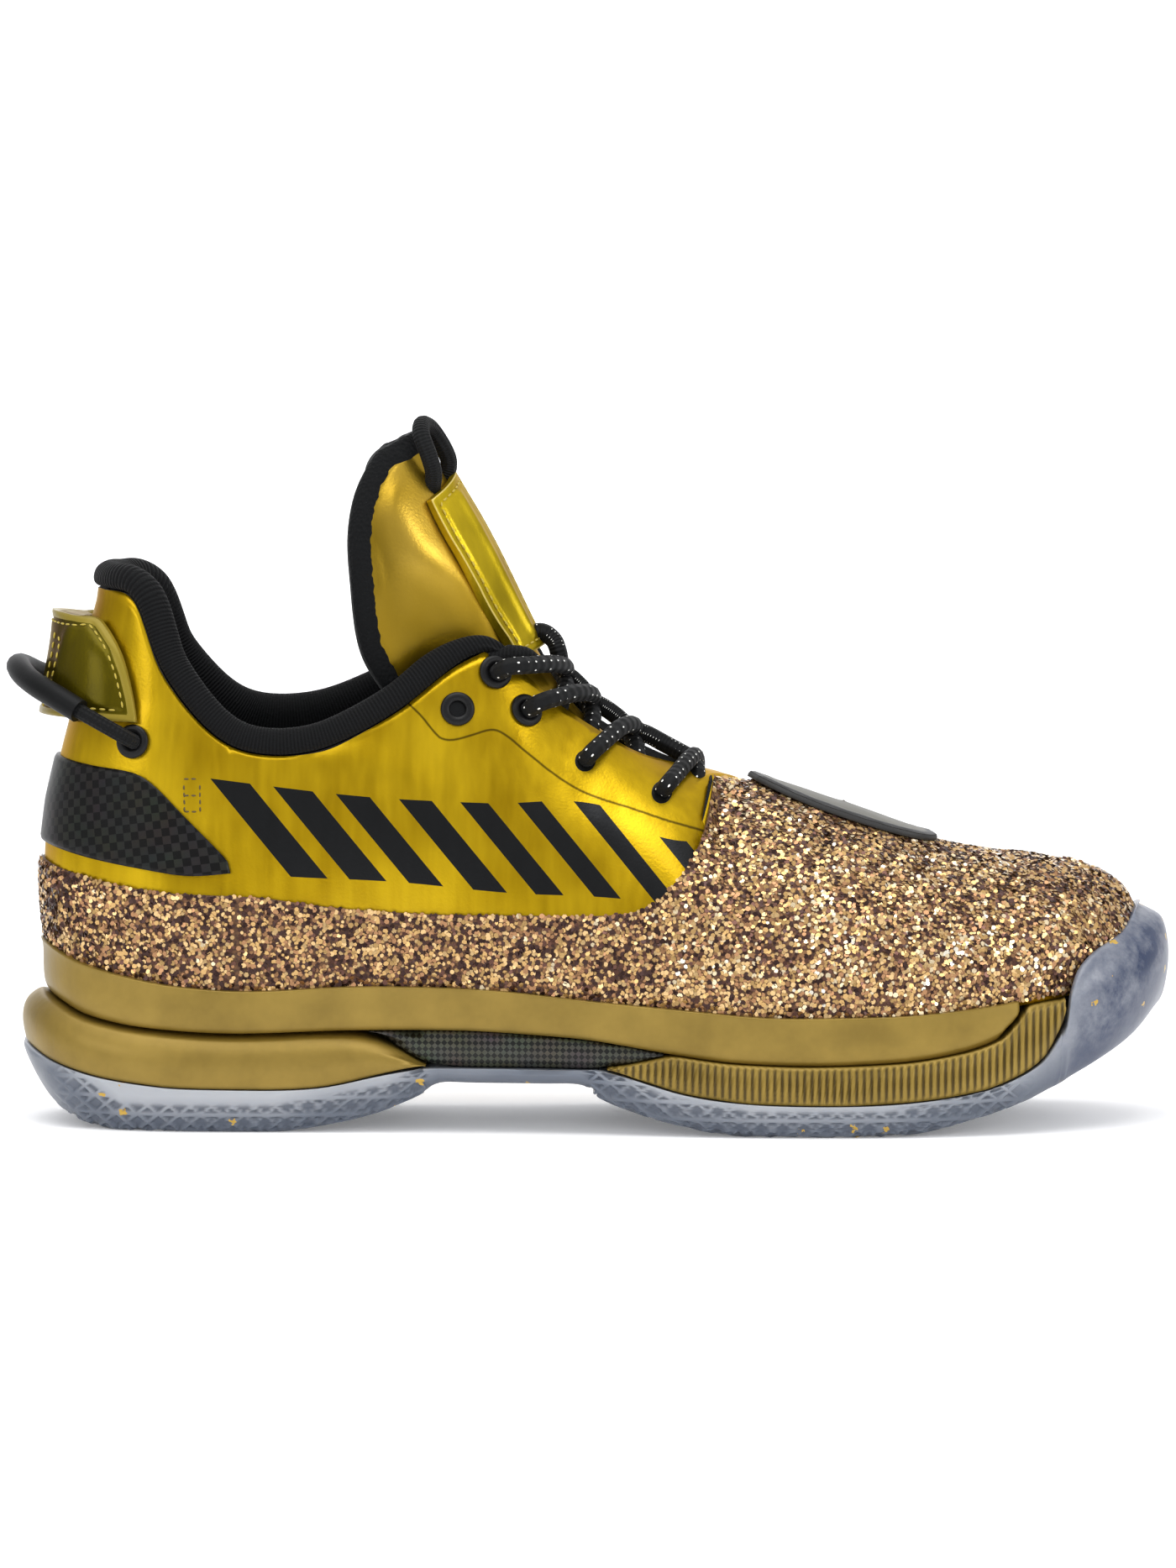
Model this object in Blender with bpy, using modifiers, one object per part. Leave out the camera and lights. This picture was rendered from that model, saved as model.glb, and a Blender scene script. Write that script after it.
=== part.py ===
"""Right basketball shoe: moulded sole layers, hollow upper, tongue, laces and heel pull.

Lengths in this file are millimetres and are turned to metres where a mesh is made.
+X runs to the toe, -Y is the lateral (outer) side, +Z is up, and the floor is Z = 0.
"""
import math

import bmesh
import bpy
from mathutils import Vector

MM = 0.001
GAP = 0.35            # clear space between pieces that touch
WALL = 2.2            # upper: coated cloth with its foam and lining
OVERLAY = 1.1         # glitter cloth laid on the upper
LIP_CLEAR = 1.95      # from the upper's skin to a sole lip, past the glitter cloth
RAIL_LIP = 1.7        # thickness of the rail's lip
WRAP_LIP = 2.4        # thickness of the rubber toe wrap at its top edge
INSOLE = 4.0
LACE_RADIUS = 2.5
LACE_REACH = 30.0     # degrees round the tongue where a strand dives under the far edge
RIB_PITCH = 1.9
RIB_DEPTH = 0.7
UPPER_ROWS = (5, 3)   # rows of faces below and above the glitter cloth's edge
OVERLAY_START = 0.025 # the glitter cloth stops just short of the feather edge
TONGUE_RINGS = 16
COUNTER_COLUMNS = 7
COUNTER_ROWS = 3
SIDES = ("lateral", "medial")
BEYOND = 200.0         # past either end of the shoe

# Plan of the last at the feather edge: a row per section from heel to toe.
# x along the foot, half widths to each side, flare of the sole and of the rail past it.
PLAN = (
    # x      lateral medial  sole  rail
    (-138.5,   0.0,   0.0,  10.5,  5.2),
    (-134.0, -17.0,  17.0,   9.0,  5.0),
    (-122.0, -27.5,  27.5,   7.0,  4.6),
    (-104.0, -33.5,  33.0,   5.6,  4.4),
    (-80.0,  -35.0,  33.0,   4.8,  4.2),
    (-55.0,  -35.5,  30.5,   4.2,  4.0),
    (-32.0,  -37.0,  29.0,   4.0,  4.0),
    (-10.0,  -39.8,  30.2,   4.2,  4.0),
    (12.0,   -43.6,  33.6,   4.8,  4.2),
    (35.0,   -47.6,  40.0,   5.2,  4.2),
    (60.0,   -49.2,  45.2,   5.4,  4.2),
    (85.0,   -46.8,  46.4,   5.6,  4.2),
    (108.0,  -39.6,  42.8,   6.2,  4.0),
    (126.0,  -28.4,  36.2,   7.2,  4.0),
    (138.0,  -12.6,  25.0,   8.6,  4.0),
    (143.5,    6.0,   6.0,   9.6,  4.0),
)
PLAN_COLUMNS = {"x": 0, "lateral": 1, "medial": 2, "sole": 3, "rail": 4}

# Top line of the upper for the same sections: collar, then throat edge, then the ridge
# of the vamp, where both sides meet. The last four columns shape the side between the
# feather edge and the top line: how far out and up the cloth leaves each end.
TOP = (
    # x      lat y  med y  lat z  med z  low_out low_up top_out top_up
    (-129.0,   0.0,   0.0, 140.5, 140.5,   7.0,  32.0,   9.0, -38.0),
    (-126.5, -12.5,  12.5, 140.5, 140.5,   6.5,  32.0,   8.5, -38.0),
    (-118.5, -21.0,  21.0, 137.5, 138.3,   5.5,  30.0,   7.0, -36.0),
    (-110.0, -27.0,  26.5, 117.5, 120.5,   4.5,  26.0,   5.0, -28.0),
    (-93.0,  -31.0,  30.0, 100.3, 105.5,   4.0,  22.0,   3.5, -22.0),
    (-70.0,  -33.0,  31.5,  99.4, 104.8,   4.0,  22.0,   3.5, -22.0),
    (-46.5,  -31.0,  30.0, 111.5, 115.0,   4.0,  24.0,   5.0, -24.0),
    (-27.0,  -25.5,  25.0, 124.5, 126.0,   4.5,  26.0,   7.5, -27.0),
    (-9.0,   -18.5,  19.0, 111.5, 112.5,   5.0,  28.0,  12.0, -15.0),
    (12.0,   -13.5,  14.5,  98.0,  99.0,   6.0,  28.0,  17.0,  -8.0),
    (31.0,     1.5,   1.5,  92.0,  92.0,   6.0,  27.0,  25.0,  -0.5),
    (62.0,     2.5,   2.5,  82.0,  82.0,   6.0,  24.0,  26.0,   0.0),
    (92.0,     4.0,   4.0,  71.6,  71.6,   6.0,  20.0,  24.0,  -1.8),
    (112.0,    5.5,   5.5,  67.4,  67.4,   6.0,  18.0,  19.0,  -1.9),
    (123.0,    6.0,   6.0,  65.2,  65.2,   5.0,  16.0,  14.0,  -2.1),
    (127.0,    6.0,   6.0,  64.4,  64.4,   5.0,  15.0,  13.0,  -2.8),
)
TOP_COLUMNS = {"x": 0, "lateral_y": 1, "medial_y": 2, "lateral_z": 3, "medial_z": 4,
               "low_out": 5, "low_up": 6, "top_out": 7, "top_up": 8}
LAST_SECTION = len(PLAN) - 1
VAMP_SECTION = 10     # from here on the two sides meet along the ridge

# Heights along the foot, each a row of x and z, as the side of the sole shows them.
GROUND = ((-151, 21), (-147.5, 14.5), (-141, 7), (-133, 2.2), (-122, 0), (-82, 0), (-66, 2.2),
          (-53, 5.5), (-44, 9.4), (-39, 13.0), (-2, 13.0), (4, 8.8), (14, 5.2), (26, 2.2), (42, 0),
          (78, 0), (92, 2), (108, 6.4), (124, 12.6), (137, 19.8), (147, 28.5), (153.5, 43))
OUTSOLE_TOP = ((-151, 22.5), (-139, 16.6), (-124, 13.1), (-104, 11.3), (-82, 11.1), (-66, 12.2),
               (-52, 15.4), (-40, 17), (3, 17), (13, 14.4), (26, 10.8), (45, 8.6), (66, 8.3),
               (84, 9.1), (102, 11.5), (112, 15), (119, 19.6), (124, 28), (127, 34.8), (154, 38.5))
GROOVE = ((-151, 37), (-140, 33), (-131, 29.2), (-115, 26.6), (-93, 25.5), (-58, 26.5),
          (-40, 26.6), (-4, 24.8), (22, 21), (40, 18.9), (58, 18.4), (80, 19.1), (97, 21.4),
          (107, 24.6), (112, 29.4), (115, 33.2), (127, 34.8))
FLOOR = ((-151, 34), (-100, 33.2), (-60, 34), (-30, 33.8), (0, 31), (27, 29), (53, 27),
         (80, 28), (100, 30.4), (113, 33), (127, 34.8), (154, 38.5))
RAIL_RIM = ((-151, 52), (-142, 48.5), (-133, 44), (-124, 41.4), (-106, 38.3), (-89, 37.3),
            (-58, 38.7), (-40, 38.5), (-22, 37.6), (0, 35.4), (27, 33.2), (53, 31.4), (80, 31.8),
            (106, 34.2), (116, 36))
WRAP_RIM = ((125, 40), (127.5, 44), (133, 47.2), (140, 50), (146, 54), (154, 58))
HEEL_WEDGE_FRONT = -42.0
HEEL_SLOPE = ((-62, 26.2), (-56, 25.4), (-50, 22.4), (-44, 18.9), (-42, 18.1), (-39, 15))
FORE_WEDGE_BACK = 5.0
FORE_SLOPE = ((2, 15), (5, 17.8), (9, 18.2), (14, 19.2), (22, 20.8), (27, 20.4))
PLATE_SPAN = (-57.0, 20.0)
RAIL_FRONT = 110.2
WEDGE_FRONT = 124.4
WRAP_BACK = 125.1       # outer side of the wrap's back edge
SOLE_MIDDLE = 5.0       # offset at which a square cross plane reads the sole's flare
OUTSOLE_CUTS = (-42, -38.5, -2.5, 3, 104, 107, 110, 112.5, 115, 117)

# Upper edge of the glitter cloth and the outline of the heel counter, as x and z.
GLITTER_EDGE = ((-146, 71), (-128, 65.3), (-110, 62.4), (-84, 61.2), (-66, 58.7), (-30, 56.9),
                (0, 56.9), (12, 57.8), (17, 60), (23, 66), (28, 73), (31, 81), (33, 92), (34, 120))
COUNTER_TOP = ((-146, 98), (-130, 95), (-116, 93), (-110, 88), (-104, 80.8), (-98, 75),
               (-93, 70.6))
COUNTER_BOTTOM = ((-146, 76), (-128, 70.8), (-110, 67.6), (-98, 66.4), (-93, 67.6))
COUNTER_FRONT = -93.6
COUNTER_OUT = 0.5
COUNTER_THICK = 0.9

# Tongue: a row per section from its sewn end under the vamp to its top edge.
TONGUE = (
    # x      z     half width  depth  thick
    (44.0,  83.2,   8.0,   2.0,  2.2),
    (32.0,  87.2,  11.0,   3.5,  2.6),
    (18.0,  94.0,  13.5,   7.0,  3.0),
    (6.0,  100.5,  16.0,  15.0,  3.5),
    (-5.0, 110.5,  18.0,  27.0,  4.5),
    (-13.5, 123.5, 19.5,  37.0,  6.0),
    (-21.0, 139.0, 23.0,  41.0,  7.0),
    (-28.5, 154.0, 26.0,  37.0,  7.5),
    (-35.5, 166.0, 25.0,  31.0,  7.0),
    (-41.0, 175.5, 21.0,  23.0,  6.5),
    (-44.5, 182.0, 14.0,  12.0,  5.0),
)
TONGUE_COLUMNS = {"x": 0, "z": 1, "half": 2, "depth": 3, "thick": 4}
STRAP_SPAN = (5.05, 8.35)       # sections of the tongue that the lace keeper covers
STRAP_TURN = -24.0              # degrees round the tongue, towards the lateral side
STRAP_HALF = 25.0
STRAP_THICK = 2.0

# Cord loop at the top of the tongue: the feet of its legs, as section and degrees round
# the tongue, and the points that it passes between them.
LOOP_FEET = ((8.55, -42.0), (8.55, -4.0))
LOOP_TURN = ((-42.2, -15.2, 173.6), (-44.0, -14, 180), (-43.4, -9, 183.4), (-40.4, -4, 181.4),
             (-37.2, -2.5, 176))
LOOP_RADIUS = 2.3

# Lace holes from the top down: x and z on the side, where the strand crosses the middle
# and how far it is lifted there by the cloth's edges.
LACE_HOLES = ((-24.4, 119.3, -7.5, 0.0), (-16.4, 109.2, 2.5, 0.0), (-0.7, 96.3, 12.0, 0.6),
              (19.3, 87.9, 24.5, 5.0))
LACE_ADVANCE = 0.12   # tongue sections that a strand runs forward past the middle
RINGS = (("top", -24.4, 119.3), ("spare", -33.9, 110.0), ("second", -16.4, 109.2))
RING_RADIUS = 3.2
RING_WIRE = 1.0

# Heel tab and its pull loop, by height and by turn round the heel (1 is the tab's edge).
TAB_HEIGHTS = (106.3, 112, 119, 126, 132.5)
TAB_EDGE = (2.35, 2.25, 2.05, 1.75, 1.2)
TAB_STAND = (8.4, 8.8, 9.0, 9.4, 10.4)
TAB_RIM = 1.9
TAB_BACK = 0.6          # from the heel's skin to the back of the tab
SLEEVE_RADIUS = 3.2
PULL_CORD_RADIUS = 2.0
PULL_HOLE = (-118.4, 101.4)
PULL_BACK_Z = 116.5
PULL_FALL = 18.6
PULL_SLACK = 3.4      # how far the loop hangs back from the tab's middle
SLEEVE_END = 0.68
PULL_BEND = (0.86, 104.6)   # turn and height where the cord clears the tab's corner

BADGE_CENTRE = 66.0             # along the ridge
BADGE_HALF = (24.5, 17.0)       # half length and half width
BADGE_THICK = 1.8
BADGE_POINTS = 18

# Collar padding: rise above the cloth's edge and distance out from its skin, once round.
ROLL = (
    # rise   out
    (0.6,    0.3),
    (2.6,    1.7),
    (5.6,    1.2),
    (7.4,   -1.6),
    (6.6,   -5.4),
    (2.0,   -8.2),
    (-8.0,  -7.6),
    (-18.0, -5.2),
    (-20.0, -3.5),
    (-9.0,  -3.3),
    (0.6,   -3.3),
)
ROLL_EDGE = 0.6         # rise of the two rows that sit on the cloth's edge
ROLL_END = 7.4

FINISH = {
    # name: colour, roughness, metallic
    "gold_film": ((0.48, 0.30, 0.012), 0.30, 0.75),
    "glitter_cloth": ((0.42, 0.25, 0.11), 0.45, 0.60),
    "gold_paint": ((0.30, 0.22, 0.055), 0.42, 0.45),
    "clear_rubber": ((0.33, 0.38, 0.50), 0.35, 0.0),
    "carbon_check": ((0.02, 0.02, 0.02), 0.40, 0.0),
    "black_knit": ((0.012, 0.013, 0.014), 0.85, 0.0),
    "black_lace": ((0.014, 0.014, 0.015), 0.75, 0.0),
    "olive_film": ((0.20, 0.15, 0.008), 0.35, 0.55),
    "black_rubber": ((0.010, 0.011, 0.012), 0.50, 0.0),
    "footbed_cloth": ((0.020, 0.020, 0.022), 0.90, 0.0),
}


def slopes(rows):
    """Slopes through rows of x and z that never overshoot, so level runs stay level."""
    steps = [(b[1] - a[1]) / (b[0] - a[0]) for a, b in zip(rows, rows[1:])]
    inner = [2 * a * b / (a + b) if a * b > 0 else 0.0 for a, b in zip(steps, steps[1:])]
    return [steps[0]] + inner + [steps[-1]]


def height(rows, x):
    """Height of a side line at x."""
    if x <= rows[0][0]:
        return rows[0][1]
    if x >= rows[-1][0]:
        return rows[-1][1]
    lean = slopes(rows)
    k = next(i for i in range(len(rows) - 1) if x <= rows[i + 1][0])
    span = rows[k + 1][0] - rows[k][0]
    f = (x - rows[k][0]) / span
    rise = (1 + 2 * f) * (1 - f) ** 2 * rows[k][1] + f * f * (3 - 2 * f) * rows[k + 1][1]
    return rise + span * (f * (1 - f) ** 2 * lean[k] - f * f * (1 - f) * lean[k + 1])


def above(lines, x):
    """Height that clears every one of the lines by the gap, on slopes too."""
    return GAP + max(height(rows, x + step) for rows in lines for step in (-2 * GAP, 0, 2 * GAP))


def blend(values, u):
    """Smooth value at section u of a column with one extra value at each end."""
    k = min(max(int(math.floor(u)), 0), len(values) - 4)
    f = u - k
    a, b, c, d = values[k:k + 4]
    return b + 0.5 * f * (c - a + f * (2 * a - 5 * b + 4 * c - d + f * (3 * (b - c) + d - a)))


def column(table, index, mirror_index=None):
    """One column of a section table, continued round the heel and the toe."""
    values = [row[index] for row in table]
    ends = [row[index if mirror_index is None else mirror_index] for row in table]
    return [ends[1]] + values + [ends[-2]]


def section_columns():
    """All columns of the two section tables, by name."""
    found = {name: column(PLAN, i) for name, i in PLAN_COLUMNS.items()}
    found["lateral"] = column(PLAN, 1, 2)
    found["medial"] = column(PLAN, 2, 1)
    for name, i in TOP_COLUMNS.items():
        found["top_" + name if name == "x" else name] = column(TOP, i)
    for kind, near, far in (("y", 1, 2), ("z", 3, 4)):
        found["lateral_" + kind] = column(TOP, near, far)
        found["medial_" + kind] = column(TOP, far, near)
    return found


SECTIONS = section_columns()


def other(side):
    return SIDES[1 - SIDES.index(side)]


def fold(side, u):
    """A section past the heel or the toe lies on the other side."""
    if u < 0:
        return other(side), -u
    if u > LAST_SECTION:
        return other(side), 2 * LAST_SECTION - u
    return side, u


def feather(side, u):
    """Point of the feather edge in plan."""
    side, u = fold(side, u)
    return Vector((blend(SECTIONS["x"], u), blend(SECTIONS[side], u), 0))


def outward(side, u):
    """Level direction out of the last at section u."""
    step = 0.02
    run = feather(side, u + step) - feather(side, u - step)
    turn = 1 if side == "lateral" else -1
    return Vector((run.y, -run.x, 0)).normalized() * turn


def top_point(side, u):
    """Point of the top line: collar, throat edge or ridge."""
    side, u = fold(side, u)
    sides = SIDES if u > VAMP_SECTION else (side,)
    y, z = (sum(blend(SECTIONS[s + kind], u) for s in sides) / len(sides) for kind in ("_y", "_z"))
    return Vector((blend(SECTIONS["top_x"], u), y, z))


def skin(side, u, t):
    """Outer skin of the upper: t runs from the feather edge to the top line."""
    side, u = fold(side, u)
    foot = feather(side, u)
    foot.z = height(FLOOR, foot.x) + GAP
    head = top_point(side, u)
    out = outward(side, u)
    up = Vector((0, 0, 1))
    low = foot + out * blend(SECTIONS["low_out"], u) + up * blend(SECTIONS["low_up"], u)
    high = head + out * blend(SECTIONS["top_out"], u) + up * blend(SECTIONS["top_up"], u)
    s = 1 - t
    return foot * s ** 3 + low * (3 * s * s * t) + high * (3 * s * t * t) + head * t ** 3


def skin_frame(side, u, t):
    """Point, outward normal and upward tangent of the skin."""
    du, dt = 0.02, 0.004
    along = skin(side, u + du, t) - skin(side, u - du, t)
    t_high, t_low = min(t + dt, 1.0), max(t - dt, 0.0)
    rise = skin(side, u, t_high) - skin(side, u, t_low)
    normal = along.cross(rise) if side == "lateral" else rise.cross(along)
    return skin(side, u, t), normal.normalized(), rise.normalized()


def t_at_height(side, u, z):
    """Where the side of the upper reaches height z."""
    low, high = 0.0, 1.0
    for _ in range(30):
        mid = (low + high) / 2
        if skin(side, u, mid).z < z:
            low = mid
        else:
            high = mid
    return low


def skin_at_height(side, u, z, out):
    """Point at height z, off the skin by out."""
    point, normal, _ = skin_frame(side, u, t_at_height(side, u, z))
    return point + normal * out


def locate(side, x, z):
    """Section and t of the skin point that shows at x and z from the side."""
    reach_u, reach_t = LAST_SECTION / 2, 0.5
    best = (LAST_SECTION / 2, 0.5)
    for _ in range(9):
        tries = [(best[0] + i * reach_u / 6, best[1] + j * reach_t / 6)
                 for i in range(-6, 7) for j in range(-6, 7)]
        tries = [(min(max(u, 0), LAST_SECTION), min(max(t, 0), 1)) for u, t in tries]
        best = min(tries, key=lambda p: (skin(side, *p).x - x) ** 2 + (skin(side, *p).z - z) ** 2)
        reach_u, reach_t = reach_u * 0.42, reach_t * 0.42
    return best


def stations():
    """Sections where the forms are cut: closer together round the heel and the toe."""
    cuts = []
    for k in range(LAST_SECTION):
        parts = 3 if k < 3 or k >= LAST_SECTION - 2 else 2
        cuts += [k + i / parts for i in range(parts)]
    return cuts + [LAST_SECTION]


STATIONS = stations()


def section_at(x):
    """Section whose feather edge lies at x."""
    low, high = 0.0, float(LAST_SECTION)
    for _ in range(40):
        mid = (low + high) / 2
        if feather("lateral", mid).x < x:
            low = mid
        else:
            high = mid
    return low


def cuts_between(x_back, x_front, extra=()):
    """Stations from x_back to x_front with both ends and any extra cuts added."""
    ends = [section_at(x) for x in (x_back, x_front)]
    inside = [u for u in STATIONS if ends[0] + 0.05 < u < ends[1] - 0.05]
    wanted = [section_at(x) for x in extra]
    inside = [u for u in inside if all(abs(u - w) > 0.04 for w in wanted)]
    return sorted(ends + inside + wanted)


def material(name):
    """Plain finish of one sub-part."""
    found = bpy.data.materials.get(name)
    if found:
        return found
    colour, roughness, metallic = FINISH[name]
    made = bpy.data.materials.new(name)
    made.use_nodes = True
    shader = made.node_tree.nodes["Principled BSDF"]
    shader.inputs["Base Color"].default_value = (*colour, 1)
    shader.inputs["Roughness"].default_value = roughness
    shader.inputs["Metallic"].default_value = metallic
    return made


def add_object(name, data, finish):
    """Put a mesh or curve in the shoe's collection under its root."""
    piece = bpy.data.objects.new(name, data)
    data.materials.append(material(finish))
    SHOE.objects.link(piece)
    piece.parent = ROOT
    return piece


def mesh_object(name, form, finish, angle=40):
    """Finish a bmesh drawn in millimetres and make it a named object."""
    bmesh.ops.remove_doubles(form, verts=form.verts, dist=0.002)
    bmesh.ops.dissolve_degenerate(form, edges=form.edges, dist=0.001)
    bmesh.ops.recalc_face_normals(form, faces=form.faces)
    bmesh.ops.scale(form, vec=(MM, MM, MM), verts=form.verts)
    data = bpy.data.meshes.new(name)
    form.to_mesh(data)
    form.free()
    data.shade_smooth()
    data.set_sharp_from_angle(angle=math.radians(angle))
    return add_object(name, data, finish)


def loft(form, rings, closed=True):
    """Faces between rings of points with the same count, round each ring if closed."""
    layers = [[form.verts.new(p) for p in ring] for ring in rings]
    count = len(layers[0])
    for a, b in zip(layers, layers[1:]):
        for i in range(count if closed else count - 1):
            j = (i + 1) % count
            form.faces.new((a[i], a[j], b[j], b[i]))
    return layers


def thicken(piece, thickness, side):
    """Give an open skin its thickness: side 1 grows outwards, -1 inwards."""
    wall = piece.modifiers.new("wall", "SOLIDIFY")
    wall.thickness = thickness * MM
    wall.offset = side
    wall.use_even_offset = True
    return piece


def plane_section(side, x, offset):
    """Section whose outline, moved out by offset, lies on the cross plane at x."""
    low, high = 0.0, float(LAST_SECTION)
    for _ in range(40):
        mid = (low + high) / 2
        if (feather(side, mid) + outward(side, mid) * offset).x < x:
            low = mid
        else:
            high = mid
    return low


def sole_ring(cut, layer, plane=False):
    """Cross section of a sole layer, from the lateral bottom edge once round.

    The cut is a section of the last or, with plane set, the x of a square cross plane.
    """
    halves = []
    for side in SIDES:
        def spot(offset):
            u = plane_section(side, cut, offset) if plane else cut
            return u, feather(side, u) + outward(side, u) * offset

        middle = plane_section(side, cut, SOLE_MIDDLE) if plane else cut
        flare = layer["flare"](middle)
        lipped = "rim" in layer and layer.get("lipped", True)
        half = []
        for share, offset in layer["profile"]:
            point = spot(flare + offset)[1]
            low = layer["low"](point.x)
            high = height(layer["rim"], point.x) if lipped else layer["top"](point.x)
            point.z = low + (high - low) * share
            half.append(point)
        if "rim" in layer:
            inner_u, inner = spot(LIP_CLEAR)
            inner.z = layer["top"](inner.x)
            if lipped:
                outer_u, outer = spot(LIP_CLEAR + layer["lip"])
                crest = height(layer["rim"], outer.x)
                half.append(skin_at_height(side, outer_u, crest, LIP_CLEAR + layer["lip"]))
                half += [skin_at_height(side, inner_u, inner.z + (crest - inner.z) * share, LIP_CLEAR)
                         for share in layer["inner"]]
            else:
                shoulder = spot(flare + layer["shoulder"])[1]
                shoulder.z = layer["top"](shoulder.x)
                half += [shoulder] + [inner] * len(layer["inner"])
            half.append(inner)
        halves.append(half)
    return halves[0] + halves[1][::-1]


def sole_layer(name, finish, cuts, layer, angle=35):
    """A moulded layer lofted through its cross sections."""
    form = bmesh.new()
    rings = loft(form, [sole_ring(u, layer) for u in cuts])
    if cuts[0] > 0:
        form.faces.new(rings[0])
    if cuts[-1] < LAST_SECTION:
        form.faces.new(rings[-1])
    return mesh_object(name, form, finish, angle)


def sole_flare(u):
    return blend(SECTIONS["sole"], u)


def heel_wedge_top(x):
    return height(GROOVE, x) if x < HEEL_SLOPE[0][0] else min(height(GROOVE, x), height(HEEL_SLOPE, x))


def fore_wedge_top(x):
    return height(GROOVE, x) if x > FORE_SLOPE[-1][0] else min(height(GROOVE, x), height(FORE_SLOPE, x))


def build_outsole():
    """Rubber cup: heel pad, arch band, forefoot pad and the wrap round the toe."""
    layer = {
        "flare": sole_flare, "rim": WRAP_RIM, "lipped": False, "lip": WRAP_LIP,
        "low": lambda x: height(GROUND, x),
        "top": lambda x: min(height(OUTSOLE_TOP, x), height(FLOOR, x)),
        "profile": ((0.0, -4.6), (0.28, -1.5), (0.66, -0.1), (0.9, -0.3)), "shoulder": -0.3,
        "inner": (1.0, 0.66, 0.33)}
    wrap = dict(layer, lipped=True)
    wrap["profile"] = ((0.0, -4.6), (0.28, -1.5), (0.62, 0.0), (0.86, -1.3))
    behind = [0.0] + cuts_between(-BEYOND, WRAP_BACK - 4.5, OUTSOLE_CUTS)[1:]
    ahead = cuts_between(WRAP_BACK + 0.5, BEYOND)[:-1] + [float(LAST_SECTION)]
    rings = [sole_ring(u, layer) for u in behind]
    rings += [sole_ring(WRAP_BACK - step, layer, plane=True) for step in (2.5, 1.2, GAP)]
    rings += [sole_ring(WRAP_BACK, wrap, plane=True)]
    rings += [sole_ring(u, wrap) for u in ahead]
    form = bmesh.new()
    loft(form, rings)
    return mesh_object("outsole", form, "clear_rubber", 35)


def build_heel_wedge():
    cuts = [0.0] + cuts_between(-BEYOND, HEEL_WEDGE_FRONT)[1:]
    return sole_layer("heel_wedge", "gold_paint", cuts, {
        "flare": sole_flare,
        "low": lambda x: above((OUTSOLE_TOP,), x), "top": heel_wedge_top,
        "profile": ((0.0, -0.6), (0.3, 0.2), (0.62, -0.4), (0.86, -2.4), (1.0, -4.6))})


def build_fore_wedge():
    """Foam block whose side carries upright ribs, a peak and a valley to each pitch."""
    span = WEDGE_FRONT - FORE_WEDGE_BACK
    count = 2 * int(span / RIB_PITCH)
    form = bmesh.new()
    rings = []
    for i in range(count + 1):
        dip = -RIB_DEPTH * (i % 2)
        rings.append(sole_ring(FORE_WEDGE_BACK + span * i / count, {
            "flare": sole_flare,
            "low": lambda x: above((OUTSOLE_TOP,), x), "top": fore_wedge_top,
            "profile": ((0.0, -0.7), (0.5, dip), (1.0, -1.4))}, plane=True))
    layers = loft(form, rings)
    form.faces.new(layers[0])
    form.faces.new(layers[-1])
    return mesh_object("forefoot_wedge", form, "gold_paint", 20)


def build_shank_plate():
    """Woven plate that shows in the waist between the two wedges."""
    return sole_layer("shank_plate", "carbon_check", cuts_between(*PLATE_SPAN, (-44, -41, 4, 8)), {
        "flare": sole_flare,
        "low": lambda x: GAP + max(above((OUTSOLE_TOP,), x) - GAP,
                                   above((HEEL_SLOPE,), x) - GAP if x > -62 else 0,
                                   above((FORE_SLOPE,), x) - GAP if x < 27 else 0),
        "top": lambda x: height(GROOVE, x),
        "profile": ((0.0, -3.2), (0.5, -2.4), (1.0, -3.0))})


def build_rail():
    """Painted foam cup that the upper stands in, with a lip up to the glitter cloth."""
    cuts = [0.0] + cuts_between(-BEYOND, RAIL_FRONT, (104, 107))[1:]
    return sole_layer("midsole_rail", "gold_paint", cuts, {
        "flare": lambda u: blend(SECTIONS["rail"], u), "rim": RAIL_RIM, "lip": RAIL_LIP,
        "low": lambda x: above((GROOVE,), x), "top": lambda x: height(FLOOR, x),
        "profile": ((0.0, -1.8), (0.2, -0.2), (0.75, 0.0)), "shoulder": 0,
        "inner": (1.0, 0.5)})


def build_insole():
    """Footbed that lies inside the upper on the sole's floor."""
    return sole_layer("insole", "footbed_cloth", STATIONS, {
        "flare": lambda u: -WALL,
        "low": lambda x: height(FLOOR, x) + GAP,
        "top": lambda x: height(FLOOR, x) + GAP + INSOLE,
        "profile": ((0.0, -0.7), (0.6, -0.6), (1.0, -1.6))})


def edge_t(side, u):
    """Where a section of the upper crosses the top edge of the glitter cloth."""
    def past(t):
        point = skin(side, u, t)
        return point.z - height(GLITTER_EDGE, point.x)
    steps = 40
    first = next((i for i in range(steps + 1) if past(i / steps) > 0), None)
    if not first:
        return 1.0
    low, high = (first - 1) / steps, first / steps
    for _ in range(25):
        mid = (low + high) / 2
        low, high = (mid, high) if past(mid) < 0 else (low, mid)
    return 1.0 if low > 0.93 else low


def ridge_normal(u):
    """Normal on the ridge, shared by both sides."""
    both = [skin_frame(side, u, 1.0)[1] for side in SIDES]
    return (both[0] + both[1]).normalized()


def skin_grid(form, side, rows_low, rows_high, out, start=0.0):
    """Faces over one side of the upper; a row of them follows the glitter cloth's edge."""
    lines = []
    for u in STATIONS:
        edge = edge_t(side, u)
        shares = [max(start, edge * i / rows_low) for i in range(rows_low + 1)]
        shares += [edge + (1 - edge) * i / rows_high for i in range(1, rows_high + 1)]
        line = []
        for t in shares:
            point, normal, _ = skin_frame(side, u, t)
            if t > 0.9999 and u > VAMP_SECTION - 0.001:
                normal = ridge_normal(u)
            line.append(point + normal * out)
        lines.append(line)
    loft(form, lines, closed=False)
    bmesh.ops.triangulate(form, faces=form.faces, quad_method="FIXED")


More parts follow.
